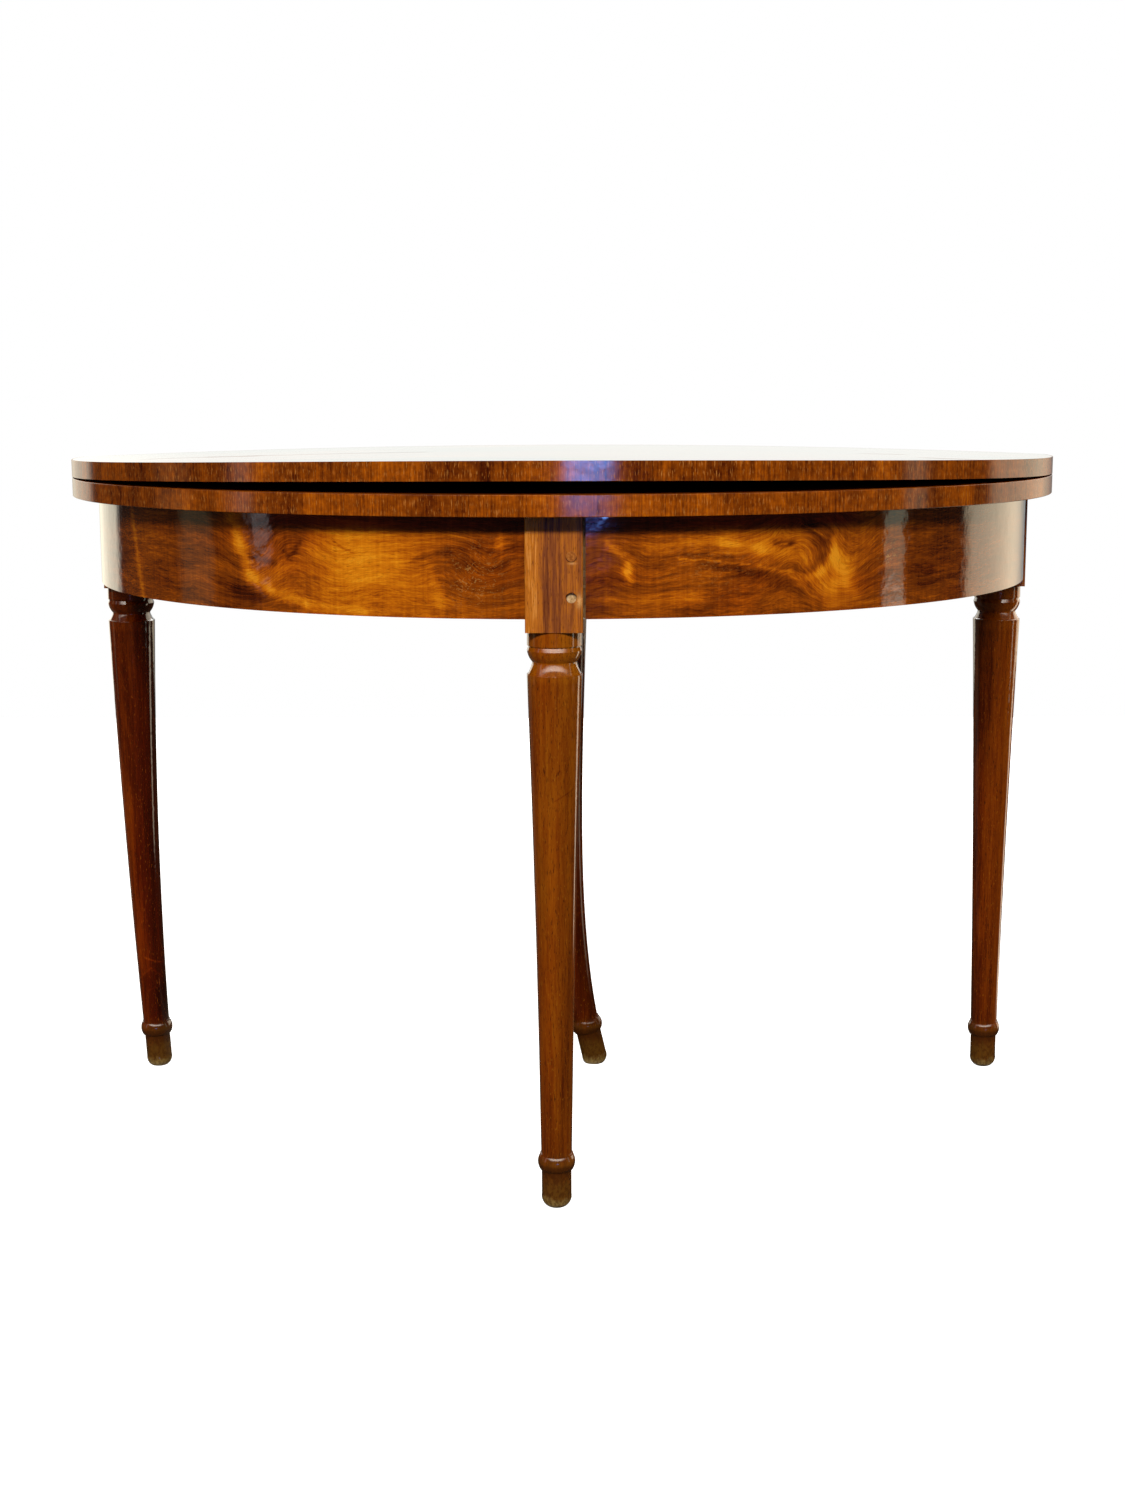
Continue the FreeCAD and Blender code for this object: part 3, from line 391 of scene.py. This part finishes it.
# Heights on a leg, in metres: the head's and the block's from the block's lower end, the rest from the floor
HEAD_RISE = (-0.052, -0.046)
BLOCK_RISE = (-0.0004, 0.0004)
LOW_SHADE = (0.30, 0.10)
SOLE_FALL = (0.0065, 0.0015)
SHADE_UNDER_RING = ((0.026, 0.040), (0.049, 0.045))
FOOT_FALL = (0.045, 0.038)
# Wear of the foot, the pale tip also painted bounce light: where it starts and is full, how much, and its colour
FOOT_WEAR_AND_BOUNCE = (
    (0.072, 0.056, 0.45, FOOT_COLOUR),
    (0.046, 0.030, 0.60, FOOT_COLOUR),
    (0.024, 0.011, 0.70, TIP_WEAR_AND_BOUNCE_COLOUR),
)
# Sizes round the front pegs, in metres
FACE_DEPTH = (0.004, 0.001)
SEAM_GAP, SEAM_WIDTH = 0.0002, 0.0007
SEAM_FADE = (-0.0015, 0.0020)
CHIP_RAGGED = 0.006
SIDE_CHIP, SIDE_CHIP_SIZE = (0.0078, -0.0025), (0.0026, 0.0058)
LOW_CHIP, LOW_CHIP_SIZE = (0.001, -0.0066), (0.0032, 0.0011)
PEG_BORDER = 0.001


def peg_marks(graph, colour, x, y, z, front):
    """Dark half rings round the two pegs of the front block, partly the joint and partly painted shade in the
    sunken lower peg's recess, and the chips beside the lower and under the upper one.
    """
    face = graph.step(y, front + FACE_DEPTH[0], front + FACE_DEPTH[1])
    # Each seam is darkened on one half only; over the sunken lower peg that half is painted recess shade
    for level, up in ((UPPER_PEG_Z, -1.0), (LOWER_PEG_Z, 1.0)):
        away = graph.away(graph.point(x, 0.0, z), (PEG_X, 0.0, level))
        seam_shade = graph.hump(away, PEG_RADIUS + SEAM_GAP, SEAM_WIDTH)
        half = graph.step(graph.times(graph.math("SUBTRACT", z, level), up), *SEAM_FADE)
        colour = graph.blend(graph.times(graph.times(seam_shade, half), face), colour, SEAM_AND_RECESS_SHADE_COLOUR)
    ragged = graph.swing(graph.noise(graph.point(x, 0.0, z), (500.0, 1.0, 500.0), 3.0), CHIP_RAGGED)
    beside = (PEG_X + SIDE_CHIP[0], LOWER_PEG_Z + SIDE_CHIP[1])
    side = graph.blob(graph.add(x, ragged), z, beside, SIDE_CHIP_SIZE)
    colour = graph.blend(graph.times(graph.times(side, 0.85), face), colour, CHIP_COLOUR)
    under = (PEG_X + LOW_CHIP[0], UPPER_PEG_Z + LOW_CHIP[1])
    below = graph.blob(graph.add(x, ragged), z, under, LOW_CHIP_SIZE)
    return graph.blend(graph.times(graph.times(below, 0.6), face), colour, CHIP_COLOUR)


def leg_material(name, node, tone, side_shading, block_shift, stain, seed, marks=(), pegged=False, gloss=1.0):
    """Solid mahogany, grain up the leg; the block is lighter and duller, the foot's tip worn pale, with painted
    bounce light and a painted highlight at its sole.

    The change of tone towards the leg's right side is painted light and shade; stain tints the turned length, and
    gloss is how much polish is left.
    """
    material, graph = new_material(name)
    low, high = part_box(node)
    spot = graph.place()
    x, y, z = graph.parts(spot)
    solid = graph.moved(graph.point(x, y, graph.times(z, GRAIN_STRETCH)), (seed, seed, 0.0))
    broad = graph.noise(solid, (45.0, 30.0, 60.0), 4.0, 0.6, 0.4)
    streak = graph.noise(solid, (260.0, 200.0, 130.0), 4.0, 0.65)
    fine = graph.noise(solid, (1300.0, 1300.0, 700.0), 3.0, 0.6)
    fleck = graph.noise(solid, (900.0, 900.0, 3200.0), 2.0)
    block_low = high.z - BLOCK_LENGTH
    head = graph.step(z, block_low + HEAD_RISE[0], block_low + HEAD_RISE[1])
    # Painted light and shade: the tone follows the normal's x, lighter on one side of the leg and darker on the
    # other
    facing = graph.parts(graph.node("ShaderNodeNewGeometry", {}).outputs["Normal"])[0]
    level = graph.add(tone, graph.swing(broad, LEG_BROAD), graph.swing(streak, LEG_STREAK),
                      graph.swing(fine, LEG_FINE), graph.times(head, HEAD_TONE), graph.times(facing, side_shading),
                      graph.times(graph.step(z, *LOW_SHADE), LOW_TONE))
    for start, end, width, strength in marks:
        mark = graph.stroke(graph.point(x, z, 0.0), start, end, width)
        level = graph.math("MULTIPLY_ADD", mark, strength, level)
    colour = graph.ramp(level, LEG_COLOURS)
    blush = graph.step(graph.noise(solid, (28.0, 28.0, 40.0), 3.0), 0.42, 0.62)
    colour = graph.blend(graph.times(blush, 0.6), colour, LEG_BLUSH_TINT, "MULTIPLY")
    colour = graph.blend(graph.times(graph.step(fleck, 0.62, 0.72), 0.5), colour, LEG_FLECK)
    colour = graph.blend(1.0, colour, stain, "MULTIPLY")
    across = graph.math("DIVIDE", graph.math("SUBTRACT", x, low.x), high.x - low.x)
    wavy = graph.add(across, graph.swing(graph.noise(solid, (30.0, 30.0, 160.0), 2.0), BLOCK_WAVE))
    shade = graph.add(graph.profile(wavy, BLOCK_TONE, 1.0), block_shift, graph.swing(streak, BLOCK_STREAK),
                      graph.swing(fine, BLOCK_FINE), graph.swing(broad, BLOCK_BROAD))
    in_block = graph.step(z, block_low + BLOCK_RISE[0], block_low + BLOCK_RISE[1])
    colour = graph.blend(in_block, colour, graph.ramp(shade, BLOCK_COLOURS))
    pores = graph.noise(solid, (1800.0, 1800.0, 2200.0), 1.0)
    colour = graph.blend(graph.step(pores, 0.61, 0.72), colour, PORE_AND_SHADE_COLOUR)
    scuffs = graph.noise(spot, (120.0, 120.0, 90.0), 4.0, 0.7)
    ragged = graph.math("MULTIPLY_ADD", scuffs, FOOT_RAGGED, z)
    # The foot's wear; the pale tip entry is also painted bounce light
    for start, full, amount, wear_and_bounce_colour in FOOT_WEAR_AND_BOUNCE:
        colour = graph.blend(graph.times(graph.step(ragged, start, full), amount), colour, wear_and_bounce_colour)
    # Painted highlight and wear: the foot's bottom rim goes pale
    colour = graph.blend(graph.times(graph.step(z, *SOLE_FALL), 0.55), colour, SOLE_WEAR_AND_HIGHLIGHT_COLOUR)
    # Painted shade: the foot darkens in a band just under the ring
    shade_under_ring = graph.between(z, *SHADE_UNDER_RING)
    colour = graph.blend(graph.times(shade_under_ring, 0.60), colour, PORE_AND_SHADE_COLOUR)
    soiled = graph.step(graph.noise(spot, (330.0, 330.0, 210.0), 3.0, 0.6), 0.44, 0.62)
    soiled = graph.times(soiled, graph.step(z, *FOOT_FALL))
    colour = graph.blend(graph.times(soiled, 0.50), colour, PORE_AND_SHADE_COLOUR)
    if pegged:
        colour = peg_marks(graph, colour, x, y, z, low.y)
    roughness = graph.math("MULTIPLY_ADD", streak, ROUGHNESS_SWING, LEAST_ROUGHNESS)
    dull = graph.math("MULTIPLY_ADD", in_block, BLOCK_ROUGHER, LEG_COAT_ROUGHNESS)
    coat = graph.math("MULTIPLY_ADD", in_block, -BLOCK_THINNER * gloss, gloss)
    polished(graph, colour, roughness, pores, LEG_PORE_DEPTH, dull, coat)
    return material


BARE_PEG = ((0.25, (0.22, 0.11, 0.040)), (0.5, (0.46, 0.29, 0.130)), (0.75, (0.66, 0.50, 0.290)))
STAINED_PEG = ((0.25, (0.13, 0.035, 0.006)), (0.5, (0.27, 0.082, 0.013)), (0.75, (0.42, 0.16, 0.030)))


def peg_material(name):
    """The front pegs' ends: the upper one stained like the block, the sunken one bare and pale."""
    material, graph = new_material(name)
    spot = graph.place()
    between_pegs = (UPPER_PEG_Z + LOWER_PEG_Z) / 2
    lower = graph.step(graph.parts(spot)[2], between_pegs + PEG_BORDER, between_pegs - PEG_BORDER)
    ring = graph.noise(spot, (420.0, 30.0, 420.0), 4.0, 0.6)
    pale = graph.ramp(ring, BARE_PEG)
    stained = graph.ramp(ring, STAINED_PEG)
    shader = graph.node("ShaderNodeBsdfPrincipled", {
        "Base Color": graph.blend(lower, stained, pale),
        "Roughness": graph.math("MULTIPLY_ADD", ring, 0.2, 0.5),
        "Specular IOR Level": 0.1,
        "Normal": graph.bump(ring, 0.0002),
    })
    graph.finish(shader.outputs[0])
    return material


RINGS = 7.0
FIBRES_PER_RING = 8.0


def bare_wood_material(name, stops, stretch, seed):
    """Unpolished timber inside the frame, with rings, dust and handling marks."""
    material, graph = new_material(name)
    moved = graph.moved(graph.place(), (seed, seed, seed))
    ring = graph.noise(moved, stretch, 3.0, 0.55, 0.6)
    bands = graph.math("FRACT", graph.times(ring, RINGS))
    fibre = graph.noise(moved, tuple(FIBRES_PER_RING * value for value in stretch), 3.0, 0.6)
    dust = graph.noise(moved, (7.0, 7.0, 7.0), 4.0, 0.6)
    level = graph.add(graph.times(bands, 0.45), graph.swing(fibre, 0.5), graph.swing(dust, 0.4), 0.3)
    colour = graph.ramp(level, stops)
    shader = graph.node("ShaderNodeBsdfPrincipled", {
        "Base Color": colour,
        "Roughness": graph.math("MULTIPLY_ADD", fibre, 0.2, 0.6),
        "Specular IOR Level": 0.2,
        "Normal": graph.bump(fibre, 0.0004),
    })
    graph.finish(shader.outputs[0])
    return material


def metal_material(name, bright, dull):
    """Old metal: worn bright on the high spots, dull and stained elsewhere."""
    material, graph = new_material(name)
    spot = graph.place()
    stain = graph.noise(spot, (260.0, 260.0, 260.0), 4.0, 0.6)
    pitting = graph.noise(spot, (1500.0, 1500.0, 1500.0), 2.0)
    shader = graph.node("ShaderNodeBsdfPrincipled", {
        "Base Color": graph.blend(graph.step(stain, 0.4, 0.62), bright, dull),
        "Metallic": 1.0,
        "Roughness": graph.math("MULTIPLY_ADD", stain, 0.4, 0.25),
        "Normal": graph.bump(pitting, 0.00008),
    })
    graph.finish(shader.outputs[0])
    return material


PINE = ((0.0, (0.10, 0.045, 0.016)), (0.5, (0.26, 0.14, 0.055)), (1.0, (0.42, 0.26, 0.12)))
BEECH = ((0.0, (0.09, 0.036, 0.014)), (0.5, (0.20, 0.095, 0.040)), (1.0, (0.33, 0.18, 0.085)))
OLD_MAHOGANY = ((0.0, (0.030, 0.008, 0.003)), (0.5, (0.100, 0.034, 0.012)), (1.0, (0.200, 0.080, 0.030)))
PEG = ((0.0, (0.12, 0.040, 0.010)), (0.5, (0.32, 0.130, 0.036)), (1.0, (0.52, 0.28, 0.110)))


def dress(material, *names):
    """Puts a material on CAD nodes."""
    for name in names:
        mesh = nodes[name].data
        mesh.materials.clear()
        mesh.materials.append(material)


# Figure of the apron. Swirls are (centre, radius, turn), strokes (start, end, half width, change of tone) and
# scuffs (middle, size, strength), all by distance from the front and height from the apron's middle
LEFT_SWIRLS = (((0.300, 0.012), 0.050, 0.8), ((0.20, -0.01), 0.05, 0.25), ((0.085, 0.0), 0.03, -0.8))
RIGHT_SWIRLS = (((0.275, 0.006), 0.045, 1.3), ((0.231, 0.020), 0.012, 2.2), ((0.07, 0.0), 0.03, 0.5))
LEFT_STROKES = (
    ((0.352, 0.044), (0.340, 0.018), 0.0095, 0.26),
    ((0.338, 0.018), (0.327, -0.012), 0.0100, 0.28),
    ((0.327, -0.014), (0.300, -0.028), 0.0070, 0.26),
    ((0.300, -0.028), (0.254, -0.040), 0.0052, 0.26),
    ((0.254, -0.040), (0.190, -0.045), 0.0040, 0.22),
    ((0.345, -0.030), (0.270, -0.047), 0.0100, -0.22),
    ((0.318, 0.022), (0.268, 0.020), 0.0200, -0.24),
    ((0.325, 0.004), (0.294, -0.001), 0.0036, -0.24),
    ((0.261, 0.021), (0.274, 0.004), 0.0030, -0.22),
    ((0.281, 0.012), (0.276, 0.004), 0.0024, -0.16),
    ((0.230, 0.015), (0.165, 0.010), 0.0260, 0.15),
    ((0.225, -0.018), (0.165, -0.018), 0.0160, 0.09),
    ((0.222, 0.022), (0.203, 0.012), 0.0014, -0.18),
    ((0.137, 0.006), (0.101, 0.015), 0.0036, -0.18),
    ((0.101, 0.015), (0.072, 0.022), 0.0060, -0.14),
    ((0.111, -0.001), (0.085, 0.002), 0.0060, -0.15),
    ((0.052, 0.030), (0.052, 0.018), 0.0040, 0.26),
    ((0.118, -0.015), (0.112, -0.036), 0.0060, 0.16),
    ((0.541, 0.049), (0.517, -0.049), 0.0050, 0.26),
)
RIGHT_STROKES = (
    ((0.049, 0.024), (0.066, 0.011), 0.0035, 0.24),
    ((0.071, 0.002), (0.070, -0.004), 0.0046, 0.46),
    ((0.070, -0.006), (0.072, -0.014), 0.0030, 0.30),
    ((0.092, 0.020), (0.171, 0.022), 0.0065, 0.18),
    ((0.165, 0.021), (0.203, 0.014), 0.0065, 0.24),
    ((0.203, 0.014), (0.254, 0.004), 0.0070, 0.17),
    ((0.205, 0.024), (0.250, 0.022), 0.0090, 0.13),
    ((0.220, 0.0205), (0.238, 0.0195), 0.0040, -0.36),
    ((0.226, 0.0197), (0.232, 0.0195), 0.0013, 0.30),
    ((0.238, 0.041), (0.258, 0.035), 0.0080, -0.16),
    ((0.258, 0.035), (0.275, 0.021), 0.0080, -0.17),
    ((0.275, 0.021), (0.276, 0.005), 0.0070, -0.15),
    ((0.276, 0.005), (0.262, -0.007), 0.0050, -0.12),
    ((0.247, 0.039), (0.263, 0.031), 0.0010, 0.16),
    ((0.263, 0.031), (0.277, 0.023), 0.0010, 0.22),
    ((0.287, 0.022), (0.290, 0.004), 0.0036, 0.28),
    ((0.288, 0.006), (0.272, -0.010), 0.0055, 0.20),
    ((0.272, -0.010), (0.250, -0.017), 0.0046, 0.22),
    ((0.290, 0.004), (0.308, -0.014), 0.0090, 0.17),
    ((0.290, -0.008), (0.286, -0.030), 0.0170, 0.22),
    ((0.300, -0.018), (0.314, -0.034), 0.0080, 0.22),
    ((0.260, -0.018), (0.284, -0.028), 0.0070, 0.16),
    ((0.141, 0.002), (0.182, -0.005), 0.0050, -0.18),
    ((0.182, -0.005), (0.236, -0.019), 0.0070, -0.20),
    ((0.125, 0.012), (0.174, 0.007), 0.0024, -0.18),
    ((0.119, 0.008), (0.193, 0.000), 0.0010, 0.22),
    ((0.203, -0.002), (0.248, -0.013), 0.0026, 0.18),
    ((0.053, -0.031), (0.141, -0.033), 0.0060, 0.14),
    ((0.151, -0.024), (0.248, -0.027), 0.0090, -0.13),
    ((0.120, -0.045), (0.270, -0.044), 0.0090, -0.14),
)
LEFT_SCUFFS = (((0.078, -0.010), (0.026, 0.030), 0.40),)
RIGHT_SCUFFS = (((0.36, 0.005), (0.012, 0.012), 0.7), ((0.15, 0.0), (0.05, 0.03), 0.15))
# Worn lines in the top's polish are (start, end, half width, strength), by x and y
BACK_WEAR_Y = BACK_Y - 0.006
TOP_MARKS = (
    ((-0.44, 0.020), (-0.38, 0.028), 0.010, 0.20),
    ((-0.37, 0.016), (-0.33, 0.010), 0.012, 0.35),
    ((-0.33, 0.012), (-0.15, 0.024), 0.010, 0.22),
    ((0.335, 0.030), (0.365, 0.034), 0.010, 0.22),
    ((0.385, -0.075), (0.420, -0.080), 0.010, 0.30),
    ((-0.54, BACK_WEAR_Y), (0.54, BACK_WEAR_Y), 0.012, 0.12),
)
# Chips in the upper edging are (place, size), by arc length and z
LEAF_TOP_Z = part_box("upper_leaf_edge_banding")[1].z
RIGHT_CHIPS = (
    ((0.743, LEAF_TOP_Z - 0.0128), (0.004, 0.0012)),
    ((0.800, LEAF_TOP_Z - 0.0130), (0.006, 0.0010)),
)

# Marks on the legs are (start, end, half width, change of tone), by x and z: hair cracks and an old mend
FRONT_LEG_MARKS = (
    ((0.0043, 0.453), (-0.0031, 0.443), 0.0007, -0.14),
    ((0.0164, 0.433), (-0.0007, 0.423), 0.0008, -0.12),
)
LEFT_LEG_MARKS = (
    ((-0.508, 0.139), (-0.488, 0.131), 0.0011, 0.20),
    ((-0.512, 0.117), (-0.501, 0.126), 0.0010, 0.12),
    ((-0.501, 0.126), (-0.492, 0.117), 0.0010, 0.12),
    ((-0.492, 0.117), (-0.494, 0.102), 0.0010, 0.10),
    ((-0.494, 0.102), (-0.505, 0.098), 0.0010, 0.08),
    ((-0.508, 0.110), (-0.490, 0.075), 0.0140, -0.14),
)
GATE_LEG_MARKS = (((0.018, 0.192), (0.040, 0.191), 0.0008, 0.16),)

dress(flame_material("flame_left", side=-1.0, tone=LEFT_TONE, lean=-0.45, swirls=LEFT_SWIRLS,
                     strokes=LEFT_STROKES, scuffs=LEFT_SCUFFS, seed=3.0), "apron_left_veneer")
dress(flame_material("flame_right", side=1.0, tone=RIGHT_TONE, lean=0.0, swirls=RIGHT_SWIRLS,
                     strokes=RIGHT_STROKES, scuffs=RIGHT_SCUFFS, seed=8.0), "apron_right_veneer")
dress(banding_material("banding_lower", seed=1.0, chips=()), "lower_leaf_edge_banding")
dress(banding_material("banding_upper", seed=6.0, chips=RIGHT_CHIPS), "upper_leaf_edge_banding")
dress(leaf_material("leaf_top", seed=2.0, brightness=0.5, coat_roughness=0.06, marks=TOP_MARKS),
      "upper_leaf_top_veneer")
dress(leaf_material("leaf_inside", seed=5.0, brightness=0.42, coat_roughness=0.25, coat=0.0),
      "upper_leaf_inner_veneer", "lower_leaf_veneer")
dress(leg_material("leg_front", "front_leg", tone=0.53, side_shading=0.0, block_shift=-0.05, stain=rgb(0.97, 1.0, 0.8),
                   seed=0.0, marks=FRONT_LEG_MARKS, pegged=True), "front_leg")
dress(leg_material("leg_left", "left_leg", tone=0.33, side_shading=-0.18, block_shift=-0.2, stain=rgb(0.88, 0.60, 0.50),
                   seed=2.0, marks=LEFT_LEG_MARKS), "left_leg")
dress(leg_material("leg_right", "right_leg", tone=0.50, side_shading=0.14, block_shift=-0.2, stain=rgb(1.0, 0.84, 0.60),
                   seed=4.0), "right_leg")
dress(leg_material("leg_gate", "gate_leg", tone=0.34, side_shading=0.0, block_shift=-0.2, stain=rgb(1.0, 1.0, 0.8),
                   seed=6.0, marks=GATE_LEG_MARKS, gloss=0.4), "gate_leg")
dress(peg_material("front_pegs"), "front_leg_pegs")
dress(bare_wood_material("core_board", OLD_MAHOGANY, stretch=(3.0, 24.0, 24.0), seed=1.0),
      "lower_leaf_core", "upper_leaf_core")
dress(bare_wood_material("pine_along", PINE, stretch=(3.0, 30.0, 30.0), seed=2.0), "back_rail")
dress(bare_wood_material("pine_across", PINE, stretch=(30.0, 3.0, 30.0), seed=3.0), "centre_bearer")
dress(bare_wood_material("pine_bricks", PINE, stretch=(9.0, 9.0, 30.0), seed=4.0),
      "apron_left_bricks", "apron_right_bricks", "glue_blocks")
dress(bare_wood_material("beech_gate", BEECH, stretch=(3.0, 30.0, 30.0), seed=5.0), "gate_rail", "gate_hinge_block")
dress(bare_wood_material("peg_end", PEG, stretch=(160.0, 20.0, 160.0), seed=6.0), "gate_leg_peg")
brass = metal_material("old_brass", rgb(0.56, 0.36, 0.11), rgb(0.20, 0.12, 0.04))
iron = metal_material("old_iron", rgb(0.16, 0.14, 0.125), rgb(0.06, 0.040, 0.028))
dress(brass, "left_hinge_lower_plate", "left_hinge_upper_plate", "right_hinge_lower_plate",
      "right_hinge_upper_plate", "left_hinge_pin", "right_hinge_pin")
dress(iron, "gate_hinge_pin", "top_screws", "hinge_block_screws", "lower_hinge_screws", "upper_hinge_screws")


# Stage: what polished surfaces show of the floor and the room. Edges by angle are in radians, each patch with the
# ends of its rise and of its fall. "right" and "left" count from that side towards the back, "ahead" from the front
# towards the right, and heights are those of the direction.
FLOOR_SIZE = 6.0
FLOOR_CLEAR = (0.70, 1.0)
FLOOR_GLOW = (0.052, 0.038, 0.024)
RIGHT_SHEEN, RIGHT_SHEEN_EDGES = (3.60, 3.00, 2.20), ((0.36, 0.42), (0.66, 0.52))
LEFT_SHEEN, LEFT_SHEEN_EDGES = (0.10, 0.09, 0.07), ((0.35, 0.50), (1.10, 0.90))
FAR_WALL, FAR_WALL_EDGES = (0.97, 1.04, 1.01), ((0.36, 0.50), (2.40, 2.32))
FAR_WALL_RISE, FAR_WALL_GAIN, FAR_WALL_LEAST = (-0.01, 0.01), 0.66, 0.34
CEILING = (1.0, 0.94, 0.86)
CEILING_RISE, CEILING_GAIN, CEILING_LEAST = (0.1, 0.9), 0.25, 0.03
AMBIENT = rgb(0.032, 0.028, 0.028)
WHITE = rgb(1.0, 1.0, 1.0)
RIGHT_WINDOW = ((-0.143, -0.129), (-0.015, -0.031))
# Patches of the room: the side, the edges by angle, the edges by height (none, a rise, or a rise and a fall), light
ROOM_PATCHES = (
    ("right", ((0.36, 0.44), (1.25, 0.85)), (), (2.0, 1.58, 1.02)),
    ("left", ((0.77, 0.85), (1.40, 1.15)), (), (1.44, 1.28, 0.95)),
    ("right", RIGHT_WINDOW, (), (1.2, 1.37, 1.02)),
    ("right", RIGHT_WINDOW, ((-0.20, -0.15), (-0.092, -0.099)), (1.2, 1.25, 1.15)),
    ("left", ((-0.326, -0.316), (-0.234, -0.246)), ((-0.081, -0.078),), (0.85, 0.85, 0.86)),
    ("left", ((-0.336, -0.328), (-0.192, -0.204)), ((-0.0625, -0.0605),), (0.35, 0.37, 0.40)),
    ("left", ((-0.03, 0.03), (0.24, 0.16)), (), (0.3, 0.27, 0.16)),
    ("ahead", ((0.01, 0.04), (0.21, 0.18)), ((-0.0455, -0.032), (0.03, 0.01)), (6.5, 14.5, 40.0)),
    ("ahead", ((0.01, 0.04), (0.24, 0.14)), ((-0.066, -0.058), (-0.045, -0.050)), (0.25, 0.22, 1.7)),
    ("ahead", ((-1.50, -0.45), (1.40, 0.35)), ((0.40, 0.47), (0.62, 0.54)), (8.0, 7.4, 6.6)),
)
WARM_WHITE = (1.0, 0.97, 0.93)


def side_angles(graph, x, y):
    """Angles of a place or direction round the upright axis, from the right and from the left."""
    return graph.math("ARCTAN2", y, x), graph.math("ARCTAN2", y, graph.times(x, -1.0))


def floor():
    """A pale floor that runs into the white background."""
    bpy.ops.mesh.primitive_plane_add(size=FLOOR_SIZE)
    plane = bpy.context.object
    plane.name = "floor"
    material, graph = new_material("floor")
    rays = graph.node("ShaderNodeLightPath", {}).outputs
    pale = graph.node("ShaderNodeBsdfPrincipled", {
        "Base Color": rgb(0.8, 0.8, 0.8),
        "Roughness": 0.9,
        "Specular IOR Level": 0.0,
        "Emission Color": WHITE,
        "Emission Strength": 0.86,
    })
    spot = graph.place()
    x, y, _ = graph.parts(spot)
    right, left = side_angles(graph, x, y)
    clear = graph.step(graph.away(spot, (0.0, 0.0, 0.0)), *FLOOR_CLEAR)
    on_right = graph.times(clear, graph.between(right, *RIGHT_SHEEN_EDGES))
    on_left = graph.between(left, *LEFT_SHEEN_EDGES)
    sheen = graph.moved(graph.tint(RIGHT_SHEEN, on_right), graph.tint(LEFT_SHEEN, on_left))
    dim = graph.node("ShaderNodeEmission", {"Color": graph.moved(sheen, FLOOR_GLOW), "Strength": 1.0})
    inputs = {0: rays["Is Camera Ray"], 1: dim.outputs[0], 2: pale.outputs[0]}
    graph.finish(graph.node("ShaderNodeMixShader", inputs).outputs[0])
    plane.data.materials.append(material)


def world():
    """White to the camera; to polished surfaces a dim room with pale walls behind and tall windows beside."""
    scene_world = bpy.data.worlds.new("room")
    bpy.context.scene.world = scene_world
    scene_world.use_nodes = True
    graph = Graph(scene_world.node_tree)
    x, y, z = graph.parts(graph.node("ShaderNodeTexCoord", {}).outputs["Generated"])
    right, left = side_angles(graph, x, y)
    angles = {"right": right, "left": left, "ahead": graph.math("SUBTRACT", right, -math.pi / 2)}
    ceiling = graph.math("MULTIPLY_ADD", graph.step(z, *CEILING_RISE), CEILING_GAIN, CEILING_LEAST)
    brighter_above = graph.math("MULTIPLY_ADD", graph.step(z, *FAR_WALL_RISE), FAR_WALL_GAIN, FAR_WALL_LEAST)
    far_wall = graph.times(graph.between(right, *FAR_WALL_EDGES), brighter_above)
    glow = graph.moved(graph.tint(FAR_WALL, far_wall), graph.tint(CEILING, ceiling))
    for side, edges, heights, light in ROOM_PATCHES:
        amount = graph.between(angles[side], *edges)
        for ends in heights:
            amount = graph.times(amount, graph.step(z, *ends))
        glow = graph.moved(graph.tint(light, amount), glow)
    rays = graph.node("ShaderNodeLightPath", {}).outputs
    shown = graph.blend(rays["Is Diffuse Ray"], glow, AMBIENT)
    shown = graph.blend(rays["Is Camera Ray"], shown, WHITE)
    back = graph.node("ShaderNodeBackground", {"Color": shown, "Strength": 1.0})
    target = graph.node("ShaderNodeOutputWorld", {})
    graph.tree.links.new(back.outputs[0], target.inputs["Surface"])


def area_light(name, place, aim, size, power, colour, mirrored=False):
    """A soft light; unless mirrored, polished surfaces don't show it, as the room does that."""
    light = bpy.data.lights.new(name, "AREA")
    light.shape = "RECTANGLE"
    light.size, light.size_y = size
    light.energy = power
    light.color = colour
    lamp = bpy.data.objects.new(name, light)
    lamp.location = place
    lamp.rotation_euler = (Vector(aim) - Vector(place)).to_track_quat("-Z", "Y").to_euler()
    lamp.visible_glossy = mirrored
    bpy.context.scene.collection.objects.link(lamp)


def camera():
    """The camera of the photograph."""
    data = bpy.data.cameras.new("camera")
    data.sensor_width = SENSOR_MM
    data.lens = FOCAL_PX / IMAGE_HEIGHT_PX * SENSOR_MM
    view = bpy.data.objects.new("camera", data)
    turn = Matrix.Rotation(CAMERA_YAW, 4, "Z")
    tilt = Matrix.Rotation(math.pi / 2 - CAMERA_PITCH, 4, "X")
    roll = Matrix.Rotation(CAMERA_ROLL, 4, "Z")
    view.matrix_world = Matrix.Translation(CAMERA_PLACE) @ turn @ tilt @ roll
    bpy.context.scene.collection.objects.link(view)
    bpy.context.scene.camera = view


floor()
world()
area_light("key", place=(-0.1, -3.2, 2.5), aim=(0.0, 0.0, 0.6), size=(3.0, 0.4), power=144.0, colour=WARM_WHITE)
area_light("left", place=(-2.2, -0.9, 1.0), aim=(0.0, 0.0, 0.5), size=(0.9, 1.3), power=5.5, colour=WARM_WHITE)
area_light("right", place=(2.2, -0.9, 1.0), aim=(0.0, 0.0, 0.5), size=(0.9, 1.3), power=5.0, colour=WARM_WHITE)
area_light("back", place=(0.6, 3.2, 2.4), aim=(0.0, 0.2, 0.5), size=(1.6, 1.2), power=80.0, colour=(1.0, 1.0, 1.0),
           mirrored=True)
camera()
bpy.context.scene.view_settings.view_transform = "Standard"
